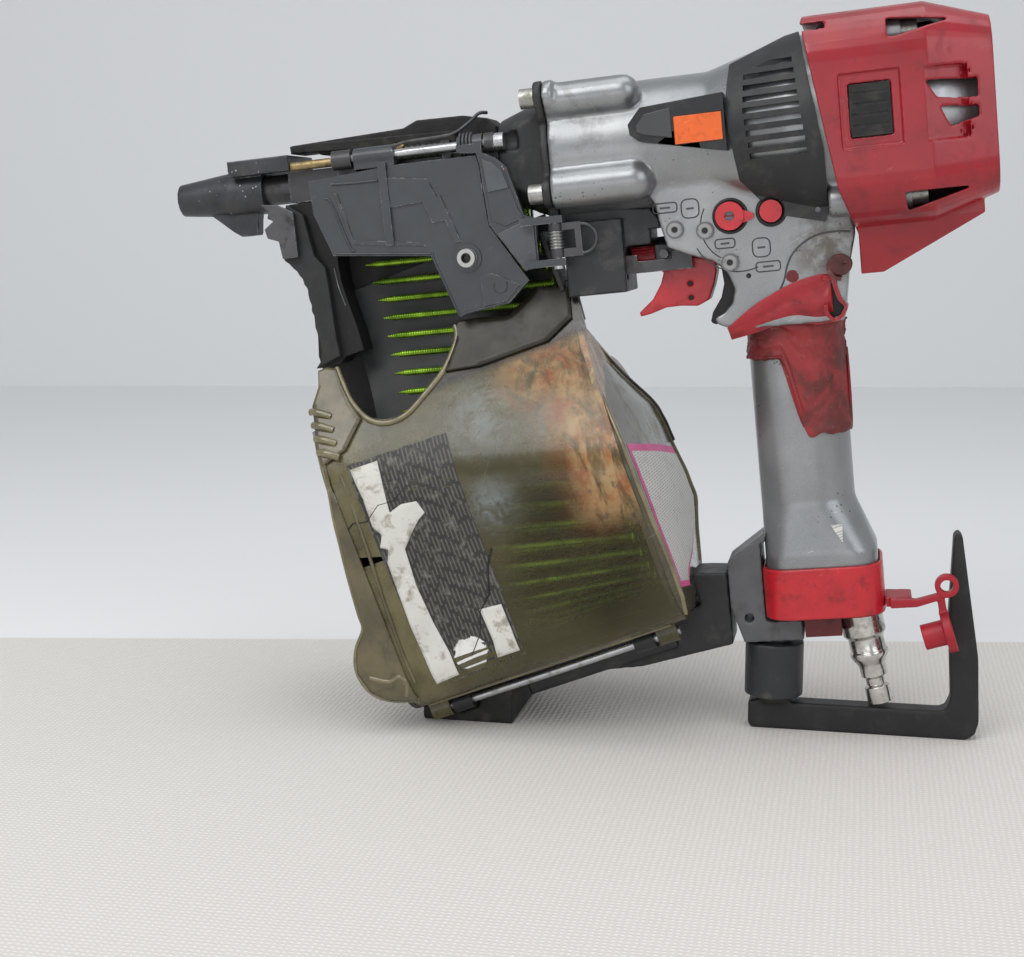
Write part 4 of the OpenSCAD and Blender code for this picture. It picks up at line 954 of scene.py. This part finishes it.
plate(
    "door_arm_face", [(-30.6, 2.8), (-25, 0.4), (-20.4, -4), (-15.4, -22.5), (-12.8, -26.6),
        (-22, -30), (-28.2, -27), (-29.6, -13)], -26.6, -25.9, "door", "door_paint", 0.3
)
plate(
    "door_arm_crease", [(-30.2, 1.9), (-25.4, -0.2), (-21.2, -4.2), (-18.6, -12.6),
        (-28.8, -13.6)], -27.5, -26.5, "door", "door_paint", 0.4, finish="door_light"
)
plate(
    "door_arm_lower", [(-12.6, -28.4), (-8.8, -28.8), (-8.8, -49), (-15.8, -49.6), (-26.4, -33)],
    -26.7, -25.9, "door", "door_paint", 0.3, finish="door_light"
)
door_mark = [
    (-30.6, -55.5), (-30.8, -58.6), (-29, -60.2), (-26, -60), (-24.6, -58.2), (-24.6, -55.5)
]
tube("door_mark", row(-24.85, door_mark), 0.35, "door", "door_paint", 6, steps=3)
tube(
    "door_top_edge", row(-24.1, ((-105, -1.5), (-95, -2), (-82, -2.2))), 0.7, "door", "door_paint",
    8
)
tube(
    "door_lower_edge", row(-24.1, ((-107, -34.2), (-96, -35.4), (-62.5, -38.8), (-59, -41.5),
        (-49.8, -67.6), (-46, -68.4), (-26.5, -65.2))), 0.6, "door", "door_paint", 8, steps=2
)
tube(
    "door_left_edge", row(-24.2, ((-109, -8), (-106, -10.5), (-99.5, -31.5), (-97, -33.6))), 0.6,
    "door", "door_paint", 8, steps=3
)
tube(
    "hinge_wire", [at(-75, -22, 11), at(-72, -23.4, 12.8), at(-66, -22.8, 14.2),
        at(-50, -21.2, 14.8), at(-43, -19.5, 16), at(-37, -14, 20.5), at(-33, -10, 24.2),
        at(-30, -6, 24.5)], 0.85, "tool", "nose_steel", 8
)
for i in range(4):
    centre = (-40.5 + i * 1.7, -20, 9.5)
    ring = [
        at(centre[0], centre[1] + 5.2 * math.cos(TAU * k / 20),
           centre[2] + 5.2 * math.sin(TAU * k / 20))
        for k in range(20)
    ]
    tube(f"hinge_coil_{i}", ring, 0.75, "door", "nose_steel", 8, closed=True, steps=1)
plate(
    "yellow_tab", [(-79, 12.2), (-76.5, 14.6), (-71.5, 14.8), (-70, 13.2), (-72, 11.8)], -14,
    -10.8, "tool", "brass_stem", 0.4
)


def ragged(points, step=2.2, size=0.9):
    """An outline with its straight runs broken up like torn rubber."""
    line = []
    for a, b in zip(points, points[1:]):
        length = math.dist(a, b)
        n = max(1, int(length / step))
        for k in range(n):
            t = k / n
            x, z = a[0] + (b[0] - a[0]) * t, a[1] + (b[1] - a[1]) * t
            push = size * noise.noise(Vector((x * 0.45, z * 0.45, 3))) if 0 < k else 0
            line.append((x + push - (b[1] - a[1]) / length * push * 0.5, z + push * 0.4))
    return line + [points[-1]]


GUARD = [
    (-132.8, -8.0), (-133.4, -12.5), (-135.9, -25.8), (-137.2, -34.7), (-132.8, -39.1),
    (-128.7, -44.6), (-126.8, -52.7), (-125.1, -63.0), (-125.2, -68.7), (-123.6, -75.7),
    (-123.1, -80.9), (-124.7, -85.9), (-127.4, -89.2)
]
guard = plate(
    "guard_wall", ragged(GUARD) + [(-115.6, -87.8), (-112.8, -84.6), (-103.0, -82.1),
        (-105.1, -70.5), (-108.3, -57.8), (-110.6, -47.5), (-111.0, -40.7), (-111.5, -8)], -9, 9,
    "tool", "black_rubber", 0.4, finish="matt_black"
)
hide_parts("nail_guard")
plate(
    "guard_face", ragged(GUARD) + [(-113.9, -83.9), (-114.8, -76.5), (-115.2, -65.1),
        (-115.7, -50.4), (-116.3, -40.2), (-121.1, -34.0), (-124.5, -14)], -14, -8.5, "tool",
    "black_rubber", 0.8, finish="guard_rubber"
)
tube(
    "guard_line", [at(-113.3, -9.4, -41), at(-112.2, -9.4, -49.7), at(-109.7, -9.4, -59.5)], 0.45,
    "tool", "black_rubber", 6, steps=3, finish="door_light"
)


def vent_place(side):
    """Turns tool points so that y runs in from the slanting wall behind the rear cover's vents."""
    def place(x, y, z):
        return at(x, side * (y - (x - 182) / 2), z)
    return place


VENT_BARS = [  # above, between and below the two vents of a side
    [(183.6, 11.4), (192.9, 11), (192.9, 19), (183.6, 19)],
    [(183.6, -0.1), (192.9, -0.5), (192.9, 3), (183.6, 3.8)],
    [(183.6, -15), (192.9, -15), (192.9, -4.8), (183.6, -7.1)],
]
for side, name in ((-1, "near"), (1, "far")):
    for k, bar in enumerate(VENT_BARS):
        plate(
            f"vent_wall_{name}_{k}", bar, 40.4, 42.7, "tool", "red_cover", 0.2,
            place=vent_place(side)
        )

plate(
    "strip_back", [(-129, -13), (-30, -13), (-32, -44), (-52, -54), (-60, -80), (-70, -104),
        (-99.9, -119.7), (-118.5, -117.6), (-131, -95), (-133, -84), (-129, -36)], 9, 12, "tool",
    "black_casting", 0.5, finish="matt_black"
)
plate(
    "nose_top_fill", [(-121.8, 15.9), (-122.2, 19.9), (-81.9, 18.8), (-45.3, 17.9), (-46.1, 10.7),
        (-79.1, 13.3), (-103.3, 15.0)], -9, 2, "tool", "black_rubber", 0.6
)
plate(
    "cover_catch", [(0.9, -57.1), (7.6, -62.1), (7.9, -64.8), (6.5, -66.3), (8.4, -77.4),
        (4.3, -78.7), (0.4, -66)], -13, -8, "tool", "black_casting", 0.6
)
plate(
    "feeder_bridge", [(-1, -24), (44, -28.5), (47.8, -33.4), (48.4, -38), (36, -38), (0, -36)],
    -14, 14, "tool", "dark_casting", 0.8
)
plate(
    "feeder_back", [(30.5, -42), (52, -42), (62, -48), (62, -57), (30.5, -57)], 15.5, 18, "tool",
    "black_casting", 0.5, finish="matt_black"
)
plate(
    "valve_block", [(44.8, -45.4), (52, -46), (62.4, -50.6), (61.6, -55.3), (47.5, -56.1),
        (44.8, -54)], -13.8, -8.6, "tool", "dark_casting", 1.0
)
# a matt black plate along the concave front of the handle, where it looks black
plate(
    "grip_front_black", [(76.3, -53.7), (80.2, -58.1), (82.5, -67.8), (80.5, -73.9), (74.5, -83.8),
        (70.8, -84.8), (68.6, -83.4), (69.9, -79.0), (74.4, -72.5), (76.2, -66.3), (75.6, -59.9)],
    -21, 21, "tool", "black_rubber", 0.8, finish="matt_black"
)
for i, z in enumerate((-65.2, -71.8)):
    tube(
        f"trigger_hole_{i}", [at(59.3, -6.9, z), at(59.3, 6.9, z)], 1.25, "trigger",
        "black_plastic", 12, steps=1, finish="matt_black"
    )
tube(
    "web_pit", [at(87.9, -24.15, -63.8), at(87.9, -22, -63.8)], 1.2, "tool", "black_plastic", 10,
    steps=1, finish="matt_black"
)
tube(
    "web_seam", row(-23.95, ((99.9, -74), (103.5, -67.6), (105.5, -61.0), (108.5, -55.6),
        (114.0, -51.0), (120.3, -48.4), (127.5, -47.8), (134.6, -48.5))), 0.45, "tool",
    "silver_casting", 8, steps=5, finish="icon_ink"
)
cover_tube(
    "disc_wire", [shell_at(k / 30, 1.0, 1.4) for k in range(0, 13)], 0.8, 8, steps=4,
    finish="latch_wire"
)

# ---- body trim ---------------------------------------------------------------------------

NEAR_WEB = -24.02
for i, (x, z, w, h) in enumerate(
    ((52.5, -29.4, 11, 4.4), (63.9, -30.8, 8, 8.5), (78.4, -48.2, 9, 4.2), (94.6, -51.6, 8, 8.5),
        (97, -60.4, 11, 4.4))
):
    r = min(w, h) * 0.32
    loop = []
    for sx, sz, a in ((1, 1, 0), (-1, 1, 90), (-1, -1, 180), (1, -1, 270)):
        loop += arc(x + sx * (w / 2 - r), z + sz * (h / 2 - r), r, a, a + 90, 3)
    tube(
        f"web_icon_{i}", row(NEAR_WEB, loop), 0.33, "tool", "silver_casting", 6, closed=True,
        steps=1, finish="icon_ink"
    )
    plate(
        f"web_icon_bar_{i}", [(x - w * 0.22, z - 0.45), (x + w * 0.22, z - 0.45),
            (x + w * 0.22, z + 0.45), (x - w * 0.22, z + 0.45)], NEAR_WEB - 0.2, NEAR_WEB + 0.3,
        "tool", "silver_casting", 0.1, finish="icon_ink"
    )
for i, (r, a0, a1) in enumerate(((17, 150, 238), (21.5, 205, 290))):
    tube(
        f"web_arc_{i}", row(NEAR_WEB, arc(85, -40, r, a0, a1, 12)), 0.3, "tool", "silver_casting",
        6, steps=2, finish="icon_ink"
    )
for x, z, r, wide in ((81.8, -36.1, 7.4, 0.8), (100.3, -35.8, 6.1, 1.0)):
    tube(
        f"web_ring_{int(x)}", row(-24.3, circle(x, z, r, r, 32)), wide, "tool", "black_plastic", 8,
        closed=True, steps=1
    )
for sign in (1, -1):
    half = arc(
        81.8, -36.1 + sign * 0.35, 2.05, 0 if sign > 0 else 180, 180 if sign > 0 else 360, 10
    )
    plate(
        f"knob_centre_{'up' if sign > 0 else 'down'}", half, -29.3, -28.05, "mode_knob",
        "bracket_metal", 0.2
    )
for arrow, y in (("panel_arrow", -40.7), ("panel_arrow_far", 39.9)):
    plate(
        arrow, [(44.4, 7.6), (48.4, 12.4), (60.4, 14), (60.4, 0.6), (47.6, 3.4), (44.6, 4.8)], y, y
        + 0.8, "tool", "black_plastic", 0.4, finish="gloss_black"
    )


def sticker_at(s, t):
    q = quad([(104.2, -182.4, 0), (121, -182, 0), (120.6, -193.6, 0), (103.6, -193.9, 0)], s, t)
    bulge = 18 + 4.5 * (-172 - q.y) / 24
    return at(q.x, -bulge - 0.05, q.y)


skin("flare_sticker", sticker_at, 4, 6, 0.12, "tool", "silver_casting", "label_white")

# ---- torn grip band ----------------------------------------------------------------------

HANDLE_X, HANDLE_L, HANDLE_W = 105.5, 44, 36


def handle_rim(s, grow):
    """A point s mm round the handle's outline from its rear middle, grow mm outside it."""
    r = HANDLE_W / 2
    flat = HANDLE_L - HANDLE_W
    lap = TAU * r + 2 * flat
    s = s % lap
    half_arc = math.pi * r / 2
    for kind, length in (
        ("rear_near", half_arc), ("near", flat), ("front", 2 * half_arc), ("far", flat),
        ("rear_far", half_arc)
    ):
        if s <= length or kind == "rear_far":
            break
        s -= length
    if kind == "near":
        return HANDLE_X + flat / 2 - s, -r - grow
    if kind == "far":
        return HANDLE_X - flat / 2 + s, r + grow
    start = {"rear_near": 0, "front": -90, "rear_far": -270}[kind]
    a = math.radians(start) - s / r
    cx = HANDLE_X + (flat / 2 if kind != "front" else -flat / 2)
    return cx + (r + grow) * math.cos(a), (r + grow) * math.sin(a)


LAP = TAU * HANDLE_W / 2 + 2 * (HANDLE_L - HANDLE_W)


def band_at(top, low, lift):
    def surface_at(s, t):
        along = -s * LAP
        q = Vector((along * 0.07, t * 2.4, 5.1))
        wrinkle = 1.5 * noise.noise(q * 1.7) + 0.8 * abs(noise.noise(q * 4.0))
        hi, lo = top(s), low(s)
        z = hi + (lo - hi) * t
        roll = 1.5 * math.exp(-((t - 0.04) / 0.06) ** 2) + 1.1 * math.exp(-((t - 0.97) / 0.05) ** 2)
        x, y = handle_rim(along, lift + max(0.05, wrinkle + roll))
        return at(x, y, z)
    return surface_at


def band_low(s):
    """Lower torn edge of the band; s runs from the rear middle by the far side to the near side."""
    tail = min(max((s - 0.695) / 0.085, 0), 1) * (1 if s < 0.965 else max(0, (1 - s) / 0.035))
    return -103 - 37 * ease(tail) - 1.6 * noise.noise(Vector((s * 26, 0, 1)))


def band_top(s):
    return -87.6 + 4.5 * math.exp(
        -((s - 0.97) / 0.05) ** 2
    ) + 1.0 * noise.noise(Vector((s * 15, 4, 1)))


band = skin("grip_band", band_at(band_top, band_low, 0.25), 44, 150, 1.7, "tool", "red_rubber")
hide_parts("grip_sleeve")
FLAP_TOP = spline(
    [(76.2, 0, -86.7), (82.3, 0, -82.0), (92.3, 0, -75.6), (106.3, 0, -69.4), (119.9, 0, -66.2),
        (124.5, 0, -67.0)], 8
)
FLAP_LOW = spline(
    [(77.5, 0, -91.5), (88, 0, -89.5), (98.9, 0, -86.8), (107.2, 0, -86.2), (116.3, 0, -88.2),
        (124.5, 0, -87.6)], 8
)


def on_line(line, t):
    k = min(max(t, 0), 1) * (len(line) - 1)
    i = min(int(k), len(line) - 2)
    return line[i].lerp(line[i + 1], k - i)


def flap_at(s, t):
    a, b = on_line(FLAP_TOP, 1 - s), on_line(FLAP_LOW, 1 - s)
    p = a.lerp(b, t)
    crease = 1.1 * math.sin(t * 7 + (1 - s) * 3.5) * (1 - s) + 0.8 * noise.noise(
        Vector((s * 5, t * 3, 9))
    )
    y = -24.9 * (1 - t) - 21.2 * t - 2.4 * math.sin(math.pi * t) * (1.1 - s) - crease * math.sin(
        math.pi * min(t + 0.15, 1)
    )
    return at(p.x, y, p.z)


skin("grip_flap", flap_at, 26, 48, 1.3, "tool", "red_rubber", "red_rubber_flap")


def ribbon(name, path, half, thick, body, slot, finish=None, lean=0.0):
    """A strip of rubber along a path in X and Z, half its width each side of y = lean."""
    line = spline([Vector((x, 0, z)) for x, z in path], 8)

    def surface_at(s, t):
        k = t * (len(line) - 1)
        i = min(int(k), len(line) - 2)
        p = line[i].lerp(line[i + 1], k - i)
        w = half * (1 + 0.14 * noise.noise(Vector((t * 5, s * 2, 7))))
        ripple = 0.7 * noise.noise(Vector((t * 7, s * 3, 2)))
        return at(
            p.x + ripple, lean + (s - 0.5) * 2 * w + 2.5 * math.sin(t * 4), p.z + ripple * 0.5
        )
    return skin(name, surface_at, 60, 10, thick, body, slot, finish)


ROLL = (128.8, -62.8)
roll = []
for k in range(9):
    reach, turn = 1.3 + 0.62 * k, 0.55 * k + 0.4
    roll.append((ROLL[0] + reach * math.cos(turn), ROLL[1] + reach * math.sin(turn) * 0.86))
ribbon("grip_roll", roll, 10, 1.7, "tool", "red_rubber", "red_rubber_dark", lean=-20)
plate(
    "grip_roll_core", circle(*ROLL, 5.6, 4.9, 24), -28.5, -12, "tool", "red_rubber", 0.8,
    finish="red_rubber_dark"
)
ribbon(
    "grip_loop", [(121.5, -66.8), (126.2, -68.5), (126.8, -72.5), (128.6, -77.4), (130.8, -82),
        (128.2, -86.6), (124.2, -87.8), (121.4, -85), (120.6, -80)], 9, 1.6, "tool", "red_rubber",
    "red_rubber_flap", lean=-20
)
plate(
    "grip_loop_dark", [(121.4, -69.5), (125.6, -71), (127.8, -77.5), (129, -82), (127.6, -85.2),
        (124.2, -86.2), (121.8, -83)], -25, -12, "tool", "red_rubber", 0.5, finish="matt_black"
)

# ---- floor, backdrop, light and camera ----------------------------------------------


def stage_plane(name, corners, material):
    mesh = bpy.data.meshes.new(name)
    mesh.from_pydata([tuple(c) for c in corners], [], [(0, 1, 2, 3)])
    mesh.materials.append(material)
    made = bpy.data.objects.new(name, mesh)
    bpy.context.scene.collection.objects.link(made)
    return made


def floor_material():
    """Pale cloth under the tool that gives way to plain white a hand's width behind it."""
    s = Shader("floor_cloth")
    weave = [
        s.add("ShaderNodeTexWave", {"Vector": s.place, "Scale": 120, "Distortion": 2.0,
            "Detail": 2}, bands_direction=way).outputs["Fac"] for way in "XY"
    ]
    both = s.times(*weave)
    depth = s.vector("DOT_PRODUCT", s.place, tuple(BEHIND))
    plain = s.step(depth, CLOTH_END, CLOTH_END + 0.004)
    s.bump(s.times(both, s.flip(plain)), 0.5, 0.0008)
    return s.done(
        s.blend(plain, s.blend(both, (0.72, 0.69, 0.65), (0.86, 0.84, 0.81)), (0.86, 0.87, 0.88)),
        0.88
    )


ACROSS = Vector((math.cos(math.radians(11)), math.sin(math.radians(11)), 0))
BEHIND = Vector((-ACROSS.y, ACROSS.x, 0))
CLOTH_END = 0.135 * BEHIND.y
LEFT, RIGHT = BEHIND * 1.6 - ACROSS * 2.2, BEHIND * 1.6 + ACROSS * 2.2
HIGH = Vector((0, 0, 2))
stage_plane("floor", [LEFT - BEHIND * 3.8, RIGHT - BEHIND * 3.8, RIGHT, LEFT], floor_material())
stage_plane(
    "backdrop", [LEFT, RIGHT, RIGHT + HIGH, LEFT + HIGH],
    Shader("backdrop").done((0.86, 0.87, 0.88), 0.9)
)


def area_light(name, place, target, size, power, color=(1, 1, 1)):
    data = bpy.data.lights.new(name, "AREA")
    data.shape = "RECTANGLE"
    data.size, data.size_y = size
    data.energy = power
    data.color = color
    lamp = bpy.data.objects.new(name, data)
    lamp.location = place
    lamp.rotation_euler = (Vector(target) - Vector(place)).to_track_quat("-Z", "Y").to_euler()
    bpy.context.scene.collection.objects.link(lamp)


AIM = (0, 0, 0.17)
area_light("key", (-0.45, -1.0, 1.15), AIM, (0.9, 0.7), 7.5, (1.0, 0.99, 0.97))
area_light("fill", (0.95, -0.9, 0.75), AIM, (0.8, 0.8), 3.2, (0.96, 0.98, 1.0))
area_light("top", (0.1, -0.1, 1.35), AIM, (1.2, 0.8), 5)
area_light("front_low", (-0.2, -1.5, 0.25), AIM, (1.2, 0.4), 1.6)

world = bpy.data.worlds.new("studio")
world.use_nodes = True
world.node_tree.nodes["Background"].inputs[0].default_value = (0.95, 0.97, 1.0, 1)
world.node_tree.nodes["Background"].inputs[1].default_value = 0.5
bpy.context.scene.world = world
bpy.context.scene.view_settings.view_transform = "Standard"

LOOK_AT = Vector((ORIGIN.x - 21.4 * MM, ORIGIN.y, 117.6 * MM))
CAMERA_FROM_AIM = Vector((167.4, -787.4, 127.5)) * MM
camera_data = bpy.data.cameras.new("camera")
camera_data.lens = 58.0
camera_data.sensor_width = 36
camera = bpy.data.objects.new("camera", camera_data)
camera.location = LOOK_AT + CAMERA_FROM_AIM
camera.rotation_euler = (LOOK_AT - camera.location).to_track_quat("-Z", "Y").to_euler()
bpy.context.scene.collection.objects.link(camera)
bpy.context.scene.camera = camera
